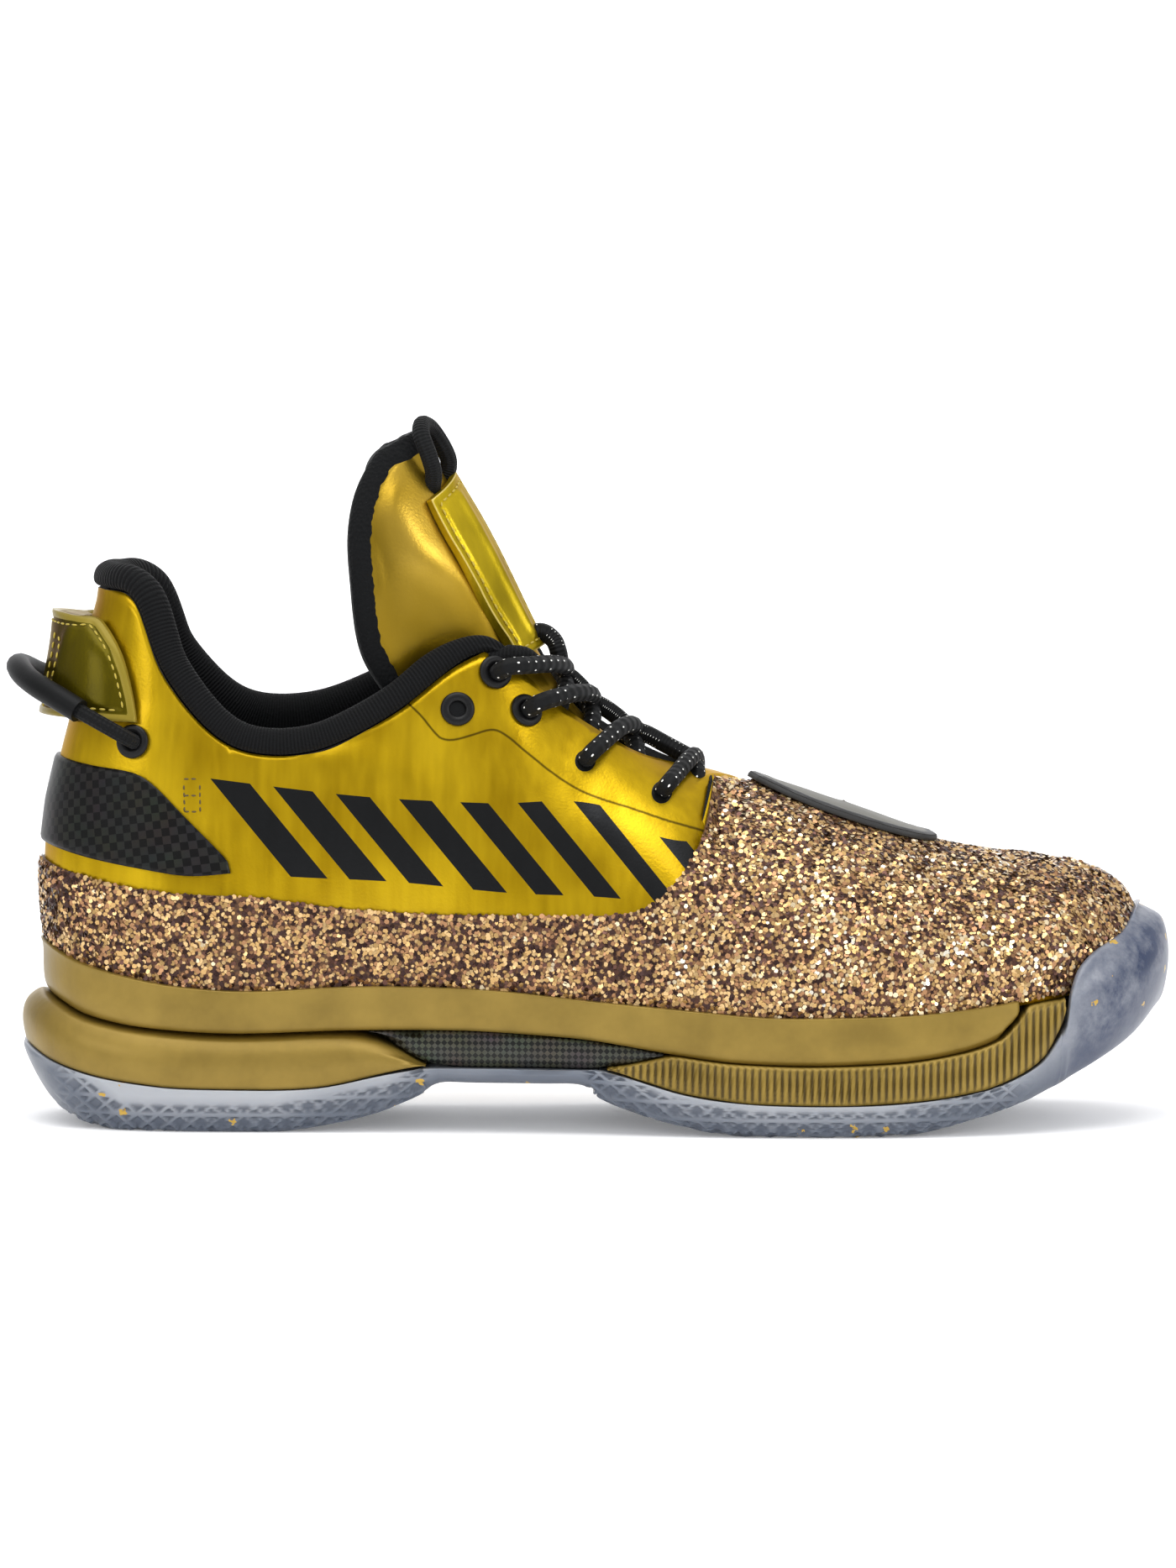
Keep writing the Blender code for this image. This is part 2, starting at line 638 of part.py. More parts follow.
def build_upper():
    """One hollow shell of coated cloth, open at collar, throat and underneath."""
    form = bmesh.new()
    for side in SIDES:
        skin_grid(form, side, UPPER_ROWS[0], UPPER_ROWS[1], 0.0)
    return thicken(mesh_object("upper", form, "gold_film"), WALL, -1)


def build_glitter_overlay():
    """Low band and toe of glitter cloth, cut from the upper's own skin."""
    form = bmesh.new()
    for side in SIDES:
        skin_grid(form, side, UPPER_ROWS[0], 0, GAP, OVERLAY_START)
    return thicken(mesh_object("glitter_overlay", form, "glitter_cloth"), OVERLAY, 1)


def build_heel_counter():
    """Moulded shell round the heel above the glitter band."""
    form = bmesh.new()
    columns = []
    for side in SIDES:
        front = locate(side, COUNTER_FRONT, COUNTER_TOP[-1][1])[0]
        ring = [(side, front * i / COUNTER_COLUMNS) for i in range(COUNTER_COLUMNS + 1)]
        columns += ring[::-1] if side == "lateral" else ring[1:]
    lines = []
    for side, u in columns:
        line = []
        for i in range(COUNTER_ROWS + 1):
            x = feather(side, u).x
            for _ in range(4):
                low, high = height(COUNTER_BOTTOM, x), height(COUNTER_TOP, x)
                z = low + (high - low) * i / COUNTER_ROWS
                x = skin(side, u, t_at_height(side, u, z)).x
            line.append(skin_at_height(side, u, z, COUNTER_OUT))
        lines.append(line)
    loft(form, lines, closed=False)
    return thicken(mesh_object("heel_counter", form, "carbon_check"), COUNTER_THICK, 1)


def rim_point(side, u, rise, out):
    """Point by rise along the cloth from its top edge and distance out from its skin."""
    if rise >= 0:
        edge, normal, _ = skin_frame(side, u, 1.0)
        run = top_point(side, u + 0.02) - top_point(side, u - 0.02)
        up = run.cross(normal) if side == "medial" else normal.cross(run)
        return edge + up.normalized() * rise + normal * out
    t = 1.0
    walked = 0.0
    here = skin(side, u, t)
    while walked < -rise:
        t -= 0.004
        ahead = skin(side, u, t)
        walked += (ahead - here).length
        here = ahead
    point, normal, _ = skin_frame(side, u, t)
    return point + normal * out


def build_collar():
    """Padded knit roll that caps the collar and hangs inside it."""
    turns = [u for u in STATIONS if u < ROLL_END - 0.2] + [ROLL_END]
    ring_at = [("lateral", u) for u in turns[::-1]] + [("medial", u) for u in turns[1:]]
    form = bmesh.new()
    rings = []
    for side, u in ring_at:
        fade = min(1.0, 0.35 + (ROLL_END - u) / 1.2)
        ring = []
        for rise, out in ROLL:
            if rise > ROLL_EDGE:
                rise = ROLL_EDGE + (rise - ROLL_EDGE) * fade
                out = out * fade - (1 - fade)
            ring.append(rim_point(side, u, rise, out))
        rings.append(ring)
    layers = loft(form, rings)
    form.faces.new(layers[0])
    form.faces.new(layers[-1])
    return mesh_object("collar_padding", form, "black_knit", 60)


def tongue_column(name):
    values = [row[TONGUE_COLUMNS[name]] for row in TONGUE]
    return [2 * values[0] - values[1]] + values + [2 * values[-1] - values[-2]]


TONGUE_SECTIONS = {name: tongue_column(name) for name in TONGUE_COLUMNS}


def tongue_point(v, degrees, out):
    """Point round the arched tongue at section v, off its face by out."""
    step = 0.05
    here = Vector((blend(TONGUE_SECTIONS["x"], v), 0, blend(TONGUE_SECTIONS["z"], v)))
    ahead = Vector((blend(TONGUE_SECTIONS["x"], v + step), 0, blend(TONGUE_SECTIONS["z"], v + step)))
    run = (ahead - here).normalized()
    back = Vector((-run.z, 0, run.x))
    half, depth = blend(TONGUE_SECTIONS["half"], v), blend(TONGUE_SECTIONS["depth"], v)
    a = math.radians(degrees)
    face = Vector((depth * math.sin(a), -half * math.cos(a))).normalized()
    across = half * math.sin(a) + face.x * out
    behind = depth * (1 - math.cos(a)) + face.y * out
    return here + Vector((0, across, 0)) + back * behind


def build_tongue():
    """Padded tongue, arched round the instep and open behind."""
    arch = [-90 + 18 * i for i in range(11)]
    last = len(TONGUE) - 1
    form = bmesh.new()
    rings = []
    for i in range(TONGUE_RINGS + 1):
        v = last * i / TONGUE_RINGS
        thick = blend(TONGUE_SECTIONS["thick"], v)
        ring = [tongue_point(v, a, 0) for a in arch]
        rings.append(ring + [tongue_point(v, a * 0.96, -thick) for a in arch[::-1]])
    layers = loft(form, rings)
    form.faces.new(layers[0])
    form.faces.new(layers[-1])
    return mesh_object("tongue", form, "gold_film", 50)


def build_tongue_strap():
    """Lace keeper: a stiff strip down the front of the tongue."""
    form = bmesh.new()
    lines = []
    for i in range(7):
        v = STRAP_SPAN[0] + (STRAP_SPAN[1] - STRAP_SPAN[0]) * i / 6
        lines.append([tongue_point(v, STRAP_TURN + STRAP_HALF * (j / 3 - 1), GAP) for j in range(7)])
    loft(form, lines, closed=False)
    return thicken(mesh_object("tongue_strap", form, "olive_film"), STRAP_THICK, 1)


def smooth_path(points, per_span=3):
    """Points of a smooth curve through the route's own points."""
    ends = [points[0] * 2 - points[1]] + list(points) + [points[-1] * 2 - points[-2]]
    path = []
    for k in range(len(points) - 1):
        for i in range(per_span):
            u = k + i / per_span
            path.append(Vector([blend([p[axis] for p in ends], u) for axis in range(3)]))
    return path + [points[-1]]


def cord_curve(name, points, radius):
    """Round cord on a poly spline with closed ends."""
    data = bpy.data.curves.new(name, "CURVE")
    data.dimensions = "3D"
    data.bevel_depth = radius * MM
    data.bevel_resolution = 2
    data.use_fill_caps = True
    spline = data.splines.new("POLY")
    spline.points.add(len(points) - 1)
    for slot, point in zip(spline.points, points):
        slot.co = (*(point * MM), 1)
    return data


def build_tongue_loop():
    """Cord loop whose legs come out above the lace keeper."""
    feet = [tongue_point(v, degrees, LOOP_RADIUS + GAP + 0.1) for v, degrees in LOOP_FEET]
    route = smooth_path([feet[0]] + [Vector(p) for p in LOOP_TURN] + [feet[1]], 2)
    return add_object("tongue_pull_loop", cord_curve("tongue_pull_loop", route, LOOP_RADIUS),
                      "black_lace")


def tab_value(values, z):
    """Width or stand-off of the heel tab at height z."""
    return height(tuple(zip(TAB_HEIGHTS, values)), z)


def tab_out(turn, z):
    """How far the tab's face stands off the heel, most at the middle."""
    return TAB_RIM + (tab_value(TAB_STAND, z) - TAB_RIM) * max(0.0, 1 - turn * turn)


def heel_point(turn, z, out):
    """Point round the heel: turn 0 is the back seam, -1 and 1 the tab's two edges."""
    side = "lateral" if turn < 0 else "medial"
    return skin_at_height(side, abs(turn) * tab_value(TAB_EDGE, z), z, out)


def build_heel_tab():
    """Stitched tab that stands off the back of the heel."""
    turns = [i / 5 - 1 for i in range(11)]
    form = bmesh.new()
    rings = []
    for z in TAB_HEIGHTS:
        ring = [heel_point(turn, z, tab_out(turn, z)) for turn in turns]
        rings.append(ring + [heel_point(turn, z, TAB_BACK) for turn in turns[::-1]])
    layers = loft(form, rings)
    form.faces.new(layers[0])
    form.faces.new(layers[-1])
    return mesh_object("heel_tab", form, "olive_film", 30)


def pull_route(turn):
    """Middle of the heel pull loop: it rises from the two holes to the back of the tab."""
    z = PULL_BACK_Z - PULL_FALL * turn * turn
    stand = tab_out(turn, z) + SLEEVE_RADIUS + GAP + PULL_SLACK * max(0.0, 1 - turn * turn)
    return heel_point(turn, z, stand)


def build_heel_loop():
    """Rubber sleeve behind the tab and the cord that leads from it to a hole on each side."""
    turns = [SLEEVE_END * (i / 6 - 1) for i in range(13)]
    sleeve = cord_curve("heel_loop_sleeve", [pull_route(t) for t in turns], SLEEVE_RADIUS)
    made = [add_object("heel_loop_sleeve", sleeve, "black_rubber")]
    for side, sign in (("lateral", -1), ("medial", 1)):
        start = pull_route(sign * (SLEEVE_END + 0.02))
        ahead = (start - pull_route(sign * (SLEEVE_END - 0.1))).normalized()
        u, t = locate(side, *PULL_HOLE)
        point, normal, _ = skin_frame(side, u, t)
        end = point + normal * (PULL_CORD_RADIUS + 2 * RING_WIRE)
        name = "heel_loop_cord_" + side
        turn, z = PULL_BEND
        bend = heel_point(sign * turn, z, tab_out(turn, TAB_HEIGHTS[0]) + PULL_CORD_RADIUS + 2 * GAP)
        route = smooth_path([start + ahead * 0.3, bend, end], 3)
        made.append(add_object(name, cord_curve(name, route, PULL_CORD_RADIUS), "black_lace"))
        made.append(ring_at("heel_ring_" + side, side, *PULL_HOLE))
    return made


def ring_at(name, side, x, z):
    """Moulded ring round a lace hole, flat on the cloth."""
    point, normal, _ = skin_frame(side, *locate(side, x, z))
    place = (point + normal * (RING_WIRE + GAP)) * MM
    turn = Vector((0, 0, 1)).rotation_difference(normal).to_euler()
    bpy.ops.mesh.primitive_torus_add(major_segments=10, minor_segments=4, location=place,
                                     rotation=turn, major_radius=RING_RADIUS * MM,
                                     minor_radius=RING_WIRE * MM)
    ring = bpy.context.object
    ring.name = ring.data.name = name
    ring.data.materials.append(material("black_rubber"))
    ring.data.shade_smooth()
    for home in list(ring.users_collection):
        home.objects.unlink(ring)
    SHOE.objects.link(ring)
    ring.parent = ROOT
    return ring


def build_rings():
    for side in SIDES:
        for label, x, z in RINGS:
            ring_at("eyelet_%s_%s" % (label, side), side, x, z)


def tongue_section_at(x):
    """Section of the tongue whose front lies at x."""
    low, high = 0.0, float(len(TONGUE) - 1)
    for _ in range(30):
        mid = (low + high) / 2
        low, high = (mid, high) if blend(TONGUE_SECTIONS["x"], mid) > x else (low, mid)
    return low


def throat_section(side, x):
    """Section whose point on the throat's edge lies at x."""
    low, high = 7.0, float(VAMP_SECTION)
    for _ in range(30):
        mid = (low + high) / 2
        low, high = (mid, high) if top_point(side, mid).x < x else (low, mid)
    return low


def lace_strand(side, hole, middle_x, raised, ringed):
    """From a lace hole over the edge, across the middle, to the far edge."""
    clear = LACE_RADIUS + GAP + 0.25
    u, t = locate(side, *hole)
    edge_u = throat_section(side, hole[0] * 0.4 + middle_x * 0.6)
    lift = clear + (2 * RING_WIRE + GAP + 0.9 if ringed else -GAP)
    route = []
    for share, stand in ((0.0, lift), (0.5, (lift + clear + 0.8) / 2), (1.0, clear + 0.8)):
        point, normal, _ = skin_frame(side, u + (edge_u - u) * share, t + (1 - t) * share)
        route.append(point + normal * stand)
    v = tongue_section_at(middle_x)
    far = 1 if side == "lateral" else -1
    route += [tongue_point(v, 0, clear + raised),
              tongue_point(v - LACE_ADVANCE, far * LACE_REACH, clear + raised)]
    return smooth_path(route, 2)


def solid_from_curve(name, data):
    """Closed mesh object of a cord."""
    cord = bpy.data.objects.new(name, data)
    SHOE.objects.link(cord)
    made = bpy.data.meshes.new_from_object(cord.evaluated_get(bpy.context.evaluated_depsgraph_get()))
    bpy.data.objects.remove(cord)
    form = bmesh.new()
    form.from_mesh(made)
    bmesh.ops.remove_doubles(form, verts=form.verts, dist=0.00001)
    bmesh.ops.recalc_face_normals(form, faces=form.faces)
    form.to_mesh(made)
    form.free()
    made.shade_smooth()
    return made


def build_laces():
    """Four crossings over the throat, each of two strands joined where they cross."""
    for number, (x, z, middle_x, raised) in enumerate(LACE_HOLES, 1):
        name = "lace_crossing_%d" % number
        strands = [lace_strand(side, (x, z), middle_x, raised, number <= 2) for side in SIDES]
        meshes = [solid_from_curve(name, cord_curve(name, strand, LACE_RADIUS)) for strand in strands]
        piece = add_object(name, meshes[0], "black_lace")
        cutter = bpy.data.objects.new(name + "_second", meshes[1])
        CUTTERS.objects.link(cutter)
        cutter.parent = ROOT
        cutter.hide_render = True
        cutter.display_type = "WIRE"
        join = piece.modifiers.new("crossing", "BOOLEAN")
        join.operation = "UNION"
        join.solver = "EXACT"
        join.object = cutter


def badge_point(along, across, out):
    """Point on the vamp by distance along the ridge and across it."""
    low, high = float(VAMP_SECTION), float(LAST_SECTION)
    for _ in range(30):
        mid = (low + high) / 2
        low, high = (mid, high) if top_point("lateral", mid).x < along else (low, mid)
    side = "lateral" if across < 0 else "medial"
    if abs(across) < 0.01:
        return top_point(side, low) + ridge_normal(low) * out
    return rim_point(side, low, -abs(across), out)


def build_toe_badge():
    """Bare oval plate on the vamp, over the glitter cloth."""
    out = GAP + OVERLAY + GAP + 0.15
    form = bmesh.new()
    rings = []
    for share in (0.02, 0.55, 1.0):
        ring = []
        for i in range(BADGE_POINTS):
            a = 2 * math.pi * i / BADGE_POINTS
            ring.append(badge_point(BADGE_CENTRE + BADGE_HALF[0] * share * math.cos(a),
                                    BADGE_HALF[1] * share * math.sin(a), out))
        rings.append(ring)
    layers = loft(form, rings)
    form.faces.new(layers[0])
    return thicken(mesh_object("toe_badge", form, "carbon_check"), BADGE_THICK, 1)


def clear_scene():
    for piece in list(bpy.data.objects):
        bpy.data.objects.remove(piece)


def stand_on_origin():
    """Move the root so that the shoe's box is centred over the origin and stands on Z = 0."""
    bpy.context.view_layer.update()
    graph = bpy.context.evaluated_depsgraph_get()
    corners = []
    for piece in SHOE.objects:
        if piece.type == "EMPTY":
            continue
        seen = piece.evaluated_get(graph)
        shape = seen.to_mesh()
        corners += [seen.matrix_world @ v.co for v in shape.vertices]
        seen.to_mesh_clear()
    lows = [min(c[i] for c in corners) for i in range(3)]
    highs = [max(c[i] for c in corners) for i in range(3)]
    ROOT.location = (-(lows[0] + highs[0]) / 2, -(lows[1] + highs[1]) / 2, -lows[2])
    bpy.context.view_layer.update()


clear_scene()
SHOE = bpy.data.collections.new("basketball_shoe")
CUTTERS = bpy.data.collections.new("cutters")
bpy.context.scene.collection.children.link(SHOE)
bpy.context.scene.collection.children.link(CUTTERS)
ROOT = bpy.data.objects.new("shoe_root", None)
SHOE.objects.link(ROOT)

build_outsole()
build_heel_wedge()
build_fore_wedge()
build_shank_plate()
build_rail()
build_insole()
build_upper()
build_glitter_overlay()
build_heel_counter()
build_collar()
build_tongue()
build_tongue_strap()
build_tongue_loop()
build_heel_tab()
build_heel_loop()
build_rings()
build_laces()
build_toe_badge()
stand_on_origin()
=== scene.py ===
"""Right basketball shoe in gold film and glitter cloth, dressed over its solids.

+X is the toe, -Y the outer side, +Z up. Tables of places on the shoe are in millimetres.
"""
import math

import bmesh
import bpy
import numpy as np
from mathutils import Matrix, Vector
from mathutils.bvhtree import BVHTree


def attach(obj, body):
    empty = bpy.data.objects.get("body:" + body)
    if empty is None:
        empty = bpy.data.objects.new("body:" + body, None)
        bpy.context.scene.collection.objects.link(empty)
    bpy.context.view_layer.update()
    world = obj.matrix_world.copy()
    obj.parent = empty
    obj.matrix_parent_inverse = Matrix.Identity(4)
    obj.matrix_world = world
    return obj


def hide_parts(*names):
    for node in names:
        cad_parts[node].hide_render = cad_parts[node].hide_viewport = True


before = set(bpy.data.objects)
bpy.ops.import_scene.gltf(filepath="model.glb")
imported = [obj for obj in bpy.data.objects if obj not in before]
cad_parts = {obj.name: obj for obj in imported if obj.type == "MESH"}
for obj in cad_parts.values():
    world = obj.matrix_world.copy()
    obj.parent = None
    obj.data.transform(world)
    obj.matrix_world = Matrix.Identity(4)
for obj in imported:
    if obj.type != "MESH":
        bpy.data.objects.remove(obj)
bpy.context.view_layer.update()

MM = 0.001
scene = bpy.context.scene
scene.view_settings.view_transform = "Standard"


# Stage: a sheet of white paper, flat under the shoe and bent up behind it, under soft light
# from a bright ceiling and two soft boxes. The camera has a long lens just above the ankle.
def linear(code):
    """sRGB hex colour to the linear values that shader sockets take."""
    parts = [int(code[i:i + 2], 16) / 255 for i in (1, 3, 5)]
    return [c / 12.92 if c <= 0.04045 else ((c + 0.055) / 1.055) ** 2.4 for c in parts] + [1.0]


def add(tree, kind, settings=None, links=None):
    """Adds a shader node, sets its properties or sockets by name or number, and links inputs."""
    made = tree.nodes.new(kind)
    for key, value in (settings or {}).items():
        if isinstance(key, int) or key in made.inputs:
            made.inputs[key].default_value = value
        else:
            setattr(made, key, value)
    for key, source in (links or {}).items():
        tree.links.new(source, made.inputs[key])
    return made


def new_material(name, sockets):
    """A material with one Principled shader, its sockets set by name."""
    made = bpy.data.materials.new(name)
    made.use_nodes = True
    shader = made.node_tree.nodes["Principled BSDF"]
    for key, value in sockets.items():
        shader.inputs[key].default_value = value
    return made, made.node_tree, shader


def mesh_from(form, name):
    """Makes a finished form a mesh and lets go of the form."""
    made = bpy.data.meshes.new(name)
    form.to_mesh(made)
    form.free()
    return made


sweep_form = bmesh.new()
sweep_line = [(-5.0, 0.0), (3.6, 0.0), (4.1, 0.13), (4.47, 0.5), (4.6, 1.0), (4.6, 5.0)]
sweep_points = [sweep_form.verts.new((-5.0, y, z)) for y, z in sweep_line]
sweep_edges = [sweep_form.edges.new(pair) for pair in zip(sweep_points, sweep_points[1:])]
sweep_rows = bmesh.ops.extrude_edge_only(sweep_form, edges=sweep_edges)["geom"]
bmesh.ops.translate(sweep_form, vec=(10.0, 0, 0),
                    verts=[v for v in sweep_rows if isinstance(v, bmesh.types.BMVert)])
bmesh.ops.recalc_face_normals(sweep_form, faces=sweep_form.faces)
sweep_mesh = mesh_from(sweep_form, "paper_sweep")
sweep_mesh.shade_smooth()
# Paper: matt white with a faint tooth.
paper, paper_tree, paper_shader = new_material(
    "white_paper", {"Base Color": linear("#F4F4F5"), "Roughness": 0.65, "Specular IOR Level": 0.25,
                    "Emission Color": linear("#FFFFFF"), "Emission Strength": 0.16})
paper_grain = add(paper_tree, "ShaderNodeTexNoise", {"Scale": 900.0, "Detail": 2.0})
paper_bump = add(paper_tree, "ShaderNodeBump", {"Strength": 0.02, "Distance": 0.0002},
                 {"Height": paper_grain.outputs["Fac"]})
paper_tree.links.new(paper_bump.outputs["Normal"], paper_shader.inputs["Normal"])
sweep_mesh.materials.append(paper)
sweep = bpy.data.objects.new("paper_sweep", sweep_mesh)
scene.collection.objects.link(sweep)

world = bpy.data.worlds.new("studio")
world.use_nodes = True
scene.world = world
sky_place = add(world.node_tree, "ShaderNodeTexCoord")
sky_axes = add(world.node_tree, "ShaderNodeSeparateXYZ", None, {0: sky_place.outputs["Generated"]})
sky_height = add(world.node_tree, "ShaderNodeMapRange", {"From Min": -0.1, "From Max": 0.9},
                 {"Value": sky_axes.outputs["Z"]})
sky_shade = add(world.node_tree, "ShaderNodeValToRGB", None, {0: sky_height.outputs[0]})
sky_shade.color_ramp.elements[0].color = linear("#BCBDC1")
sky_shade.color_ramp.elements[1].color = linear("#FFFFFF")
world.node_tree.links.new(sky_shade.outputs[0], world.node_tree.nodes["Background"].inputs["Color"])
world.node_tree.nodes["Background"].inputs["Strength"].default_value = 0.85

for lamp_name, place, aim, size, power in (
        # name, place, what it points at, width and power
        ("ceiling_box", (-0.1, -0.3, 1.5), (0, 0, 0.05), 1.3, 15.0),
        ("front_box", (0.1, -2.2, 0.35), (0, 0, 0.02), 1.4, 22.0),
        ("left_box", (-1.5, -1.3, 0.9), (0, 0, 0.08), 0.8, 5.0),
        ("right_box", (1.7, -0.9, 0.8), (0, 0, 0.08), 0.7, 8.0),
        ("paper_box", (0, 2.7, 2.2), (0, 4.6, 0.7), 1.6, 60.0)):
    lamp = bpy.data.lights.new(lamp_name, "AREA")
    lamp.size = size
    lamp.energy = power
    lamp_place = bpy.data.objects.new(lamp_name, lamp)
    lamp_place.location = place
    lamp_place.rotation_euler = (Vector(aim) - Vector(place)).to_track_quat("-Z", "Y").to_euler()
    # The front box is a fill, which shiny film doesn't mirror.
    lamp_place.visible_glossy = lamp_name != "front_box"
    scene.collection.objects.link(lamp_place)

EYE_DISTANCE = 2.5
EYE_RISE = math.radians(4.0)
FRAME_HEIGHT = 0.4133          # what the tall side of the picture spans at the shoe
LOOK_AT = Vector((0, 0, 0.0885))
camera = bpy.data.cameras.new("camera")
camera.sensor_width = 36.0
camera.lens = 36.0 * EYE_DISTANCE / FRAME_HEIGHT
eye = bpy.data.objects.new("camera", camera)
eye.location = LOOK_AT + Vector((0, -math.cos(EYE_RISE), math.sin(EYE_RISE))) * EYE_DISTANCE
eye.rotation_euler = (math.pi / 2 - EYE_RISE, 0, 0)
scene.collection.objects.link(eye)
scene.camera = eye


# Outsole: a cup of cloudy blue-grey rubber, pressed in a hot mould with gold flakes in it.
# Fine crossing ribs run round its lower edge, and a lattice of grooves cuts its tread.
def merged_copy(node):
    """A solid's mesh with its loose triangles merged and paired into quads."""
    form = bmesh.new()
    form.from_mesh(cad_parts[node].data)
    bmesh.ops.remove_doubles(form, verts=form.verts, dist=0.00001)
    bmesh.ops.join_triangles(form, faces=form.faces, angle_face_threshold=math.radians(35),
                             angle_shape_threshold=math.radians(80))
    return form


def settled_mesh(holder):
    """The mesh that an object's modifiers or bevel give."""
    graph = bpy.context.evaluated_depsgraph_get()
    return bpy.data.meshes.new_from_object(holder.evaluated_get(graph), depsgraph=graph)


def rounded(form, levels, sharp, most_mm=2.5, stays_crisp=lambda edge: True):
    """The form's mesh, subdivided smooth through its own corners, which move most_mm at most for it.

    Edges turned over sharp degrees stay crisp where the test says so.
    """
    crease = form.edges.layers.float.new("crease_edge")
    for edge in form.edges:
        turned = len(edge.link_faces) == 2 and edge.calc_face_angle() > math.radians(sharp)
        if turned and stays_crisp(edge):
            edge[crease] = 1.0
    cage_mesh = mesh_from(form, "cage")
    if "custom_normal" in cage_mesh.attributes:
        cage_mesh.attributes.remove(cage_mesh.attributes["custom_normal"])
    cage = bpy.data.objects.new("cage", cage_mesh)
    scene.collection.objects.link(cage)
    rounding = cage.modifiers.new("rounding", "SUBSURF")
    corners = points_of(cage_mesh)
    moved = corners.copy()
    for level in (1, 1, 1, levels):
        rounding.levels = rounding.render_levels = level
        made = settled_mesh(cage)
        moved += corners - points_of(made)[:len(corners)]
        moved = corners + np.clip(moved - corners, -most_mm, most_mm)
        move_to(cage_mesh, moved)
    bpy.data.objects.remove(cage)
    return made


def points_of(mesh):
    """Corner points of a mesh in millimetres."""
    flat = np.empty(len(mesh.vertices) * 3, np.float32)
    mesh.vertices.foreach_get("co", flat)
    return flat.reshape(-1, 3) / MM


def normals_of(mesh):
    """The way that a mesh faces at each corner point."""
    flat = np.empty(len(mesh.vertices) * 3, np.float32)
    mesh.vertex_normals.foreach_get("vector", flat)
    return flat.reshape(-1, 3)


def move_to(mesh, points):
    """Puts the corner points of a mesh at new places in millimetres."""
    mesh.vertices.foreach_set("co", (points * MM).astype(np.float32).ravel())
    mesh.update()


def push(mesh, amount_mm):
    """Moves every point out along its normal, or in where the amount is negative."""
    move_to(mesh, points_of(mesh) + normals_of(mesh) * np.asarray(amount_mm, np.float32)[:, None])


def keep_value(mesh, name, values):
    """Keeps a number at each point for the material to read."""
    mesh.attributes.new(name, "FLOAT", "POINT").data.foreach_set("value", np.asarray(values, np.float32))


def place_piece(name, mesh, material, nodes=()):
    """Names a finished mesh and fixes it to the shoe in place of the solids it stands for."""
    mesh.name = name
    mesh.shade_smooth()
    for one in material if isinstance(material, (list, tuple)) else (material,):
        mesh.materials.append(one)
    piece = bpy.data.objects.new(name, mesh)
    scene.collection.objects.link(piece)
    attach(piece, "root")
    if nodes:
        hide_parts(*nodes)
    return piece


def smooth_step(values, low, high):
    """0 below low, 1 above high, and an even rise between them."""
    f = np.clip((values - low) / (high - low), 0, 1)
    return f * f * (3 - 2 * f)


def neighbour_mean(mesh, at, rounds):
    """Mean of the points that each point is joined to, taken again for every round."""
    ends = np.empty(len(mesh.edges) * 2, np.int32)
    mesh.edges.foreach_get("vertices", ends)
    a, b = ends.reshape(-1, 2).T
    count = np.maximum(np.bincount(ends, minlength=len(at)), 1)
    for _ in range(rounds):
        sums = [np.bincount(a, at[b, k], len(at)) + np.bincount(b, at[a, k], len(at)) for k in range(3)]
        at = np.stack(sums, axis=1) / count[:, None]
    return at


def grain(tree, shader, grain_mm, strength, depth_mm, detail=2.0):
    """Gives a moulded, pressed or spun finish its fine grain."""
    place = add(tree, "ShaderNodeTexCoord")
    specks = add(tree, "ShaderNodeTexNoise", {"Scale": 1000 / grain_mm, "Detail": detail},
                 {"Vector": place.outputs["Object"]})
    bump = add(tree, "ShaderNodeBump", {"Strength": strength, "Distance": depth_mm * MM},
               {"Height": specks.outputs["Fac"]})
    tree.links.new(bump.outputs["Normal"], shader.inputs["Normal"])


# Cloudy moulded rubber: light goes a little way in, so it looks milky with a soft gloss.
rubber, rubber_tree, rubber_shader = new_material("cloudy_rubber", {
    "Roughness": 0.36, "IOR": 1.5, "Subsurface Weight": 0.3, "Subsurface Scale": 0.003,
    "Subsurface Radius": (0.6, 0.8, 1.0), "Coat Weight": 0.25, "Coat Roughness": 0.25})
rubber_place = add(rubber_tree, "ShaderNodeTexCoord")
rubber_cloud = add(rubber_tree, "ShaderNodeTexNoise", {"Scale": 1 / 0.022, "Detail": 3.0},
                   {"Vector": rubber_place.outputs["Object"]})
# The side is painted darker toward the ground: painted shade, with a faint cloud in the rubber.
rubber_height_shade = add(rubber_tree, "ShaderNodeAttribute", {"attribute_name": "rise"})
rubber_level = add(rubber_tree, "ShaderNodeMath", {"operation": "MULTIPLY_ADD", 1: 0.3},
                   {0: rubber_cloud.outputs["Fac"], 2: rubber_height_shade.outputs["Fac"]})
rubber_side = add(rubber_tree, "ShaderNodeValToRGB", None, {0: rubber_level.outputs[0]})
rubber_side.color_ramp.elements[0].position, rubber_side.color_ramp.elements[1].position = 0.2, 1.05
rubber_side.color_ramp.elements[0].color = linear("#555C68")
rubber_side.color_ramp.elements[1].color = linear("#9EA1A6")
# The toe wrap darkens toward its front and its foot: painted shade, broken up by marbled veins in the rubber.
rubber_toe_shade = add(rubber_tree, "ShaderNodeAttribute", {"attribute_name": "toe"})
rubber_marble = add(rubber_tree, "ShaderNodeTexNoise", {"Scale": 1 / 0.007, "Detail": 5.0, "Roughness": 0.7},
                    {"Vector": rubber_place.outputs["Object"]})
rubber_vein = add(rubber_tree, "ShaderNodeMapRange",
                  {"From Min": 0.35, "From Max": 0.65, "To Min": 0.65, "To Max": 1.1},
                  {"Value": rubber_marble.outputs["Fac"]})
rubber_veined_toe_shade = add(rubber_tree, "ShaderNodeMath", {"operation": "MULTIPLY"},
                    {0: rubber_toe_shade.outputs["Fac"], 1: rubber_vein.outputs[0]})
